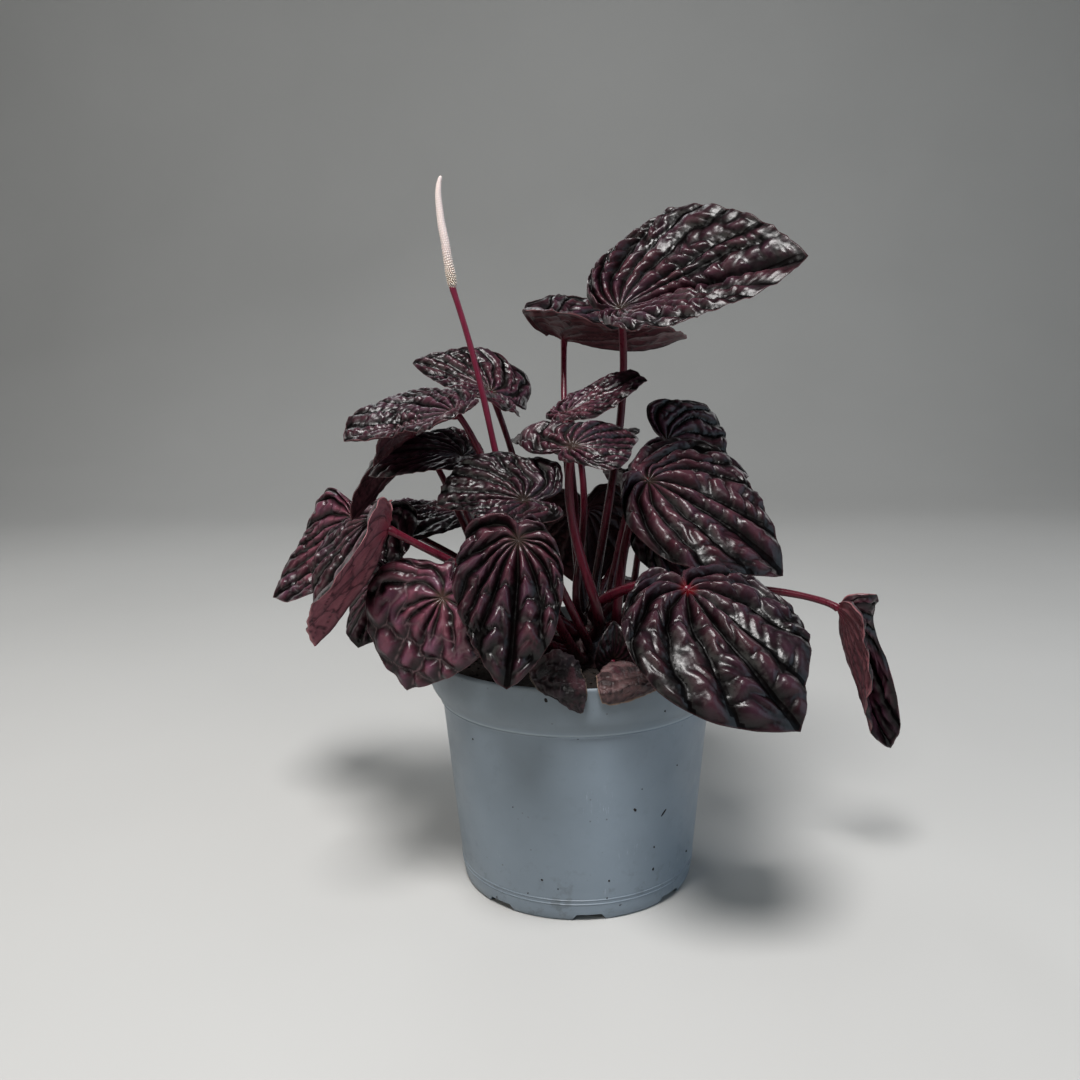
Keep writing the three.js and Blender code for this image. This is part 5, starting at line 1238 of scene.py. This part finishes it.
piece(build_soil(), "soil", "soil")
rng = np.random.default_rng(12)
items = []
for k in range(420):
    r, a = 56.3 * math.sqrt(rng.uniform(0.03, 1)), rng.uniform(0, TAU)
    size = 0.45 + 1.25 * rng.uniform() ** 2.2
    M = np.linalg.qr(rng.normal(size=(3, 3)))[0] @ np.diag(size * rng.uniform(0.5, 1.1, 3))
    if r + size > 56.9:
        r = 56.9 - size
    items.append(((r * math.cos(a), r * math.sin(a), 90.3 + 0.25 * size), M))
piece(blobs("soil_crumbs", items, SOIL, 2, 7), "soil")


# ------------------------------------------------------------------ stage, lights and camera
def stage_material():
    m, nt, b = new_material("pale_floor")
    N = Nodes(nt)
    col = N.ramp(N.noise(3, 3, 0.5), [(0.3, (0.44, 0.44, 0.43)), (0.7, (0.47, 0.47, 0.46))])
    N.link(col, b.inputs["Base Color"])
    b.inputs["Roughness"].default_value = 0.7
    b.inputs["Specular IOR Level"].default_value = 0.25
    return m


def build_stage():
    prof = [(-9.0, 0.0), (0.9, 0.0)]
    for k in range(1, 13):
        t = k / 12 * math.pi / 2
        prof.append((0.9 + 0.6 * math.sin(t), 0.6 - 0.6 * math.cos(t)))
    prof.append((1.5, 3.0))
    xs = [-9.0, 9.0]
    V = [(x, y, z) for y, z in prof for x in xs]
    F = [[2 * k, 2 * k + 1, 2 * k + 3, 2 * k + 2] for k in range(len(prof) - 1)]
    me = bpy.data.meshes.new("floor")
    me.from_pydata(V, [], F)
    me.materials.append(stage_material())
    me.shade_smooth()
    ob = bpy.data.objects.new("floor", me)
    bpy.context.scene.collection.objects.link(ob)


build_stage()


def area(name, at, target, size, power, color):
    d = bpy.data.lights.new(name, "AREA")
    d.shape = "DISK"
    d.size = size
    d.energy = power
    d.color = color
    o = bpy.data.objects.new(name, d)
    o.location = at
    o.rotation_mode = "QUATERNION"
    o.rotation_quaternion = (Vector(target) - Vector(at)).to_track_quat("-Z", "Y")
    bpy.context.scene.collection.objects.link(o)


area("key", (-0.10, -0.52, 1.08), (0, 0, 0.13), 0.40, 17.5, (1.0, 0.98, 0.97))
area("side", (1.1, -0.45, 0.30), (0, 0, 0.08), 1.3, 5.2, (0.66, 0.84, 1.0))
area("fill", (-1.0, -0.9, 0.6), (0, 0, 0.1), 0.9, 3.8, (1.0, 0.97, 0.88))
area("back", (-0.35, 0.85, 0.95), (0, 0, 0.15), 0.5, 2.6, (0.95, 0.98, 1.0))


def soft_spot(name, at, target, radius, power, color):
    d = bpy.data.lights.new(name, "SPOT")
    d.spot_size = math.radians(80)
    d.spot_blend = 1.0
    d.shadow_soft_size = radius
    d.energy = power
    d.color = color
    o = bpy.data.objects.new(name, d)
    o.location = at
    o.rotation_mode = "QUATERNION"
    o.rotation_quaternion = (Vector(target) - Vector(at)).to_track_quat("-Z", "Y")
    bpy.context.scene.collection.objects.link(o)


# the rear is lit softly too, so that the plant can be seen from behind
soft_spot("rear_right", (0.95, 1.0, 0.70), (0, 0, 0.12), 0.45, 11.0, (0.98, 0.98, 1.0))
soft_spot("rear_left", (-1.05, 0.8, 0.55), (0, 0, 0.12), 0.45, 11.0, (1.0, 0.98, 0.96))
world = bpy.data.worlds.new("studio")
world.use_nodes = True
bg = world.node_tree.nodes["Background"]
bg.inputs[0].default_value = (0.80, 0.86, 0.88, 1)
bg.inputs[1].default_value = 0.070
bpy.context.scene.world = world

cam_data = bpy.data.cameras.new("camera")
cam_data.lens = 36.4
cam_data.sensor_width = 36.0
cam_data.sensor_fit = "HORIZONTAL"
cam_data.clip_start, cam_data.clip_end = 0.01, 20
cam = bpy.data.objects.new("camera", cam_data)
rot = Matrix((CAM_X, CAM_Y, -FWD)).transposed()
cam.matrix_world = Matrix.Translation(Vector(CAM * MM)) @ rot.to_4x4()
bpy.context.scene.collection.objects.link(cam)
bpy.context.scene.camera = cam
bpy.context.scene.view_settings.view_transform = "Standard"
bpy.context.scene.view_settings.look = "None"
bpy.context.scene.view_settings.exposure = 0.0
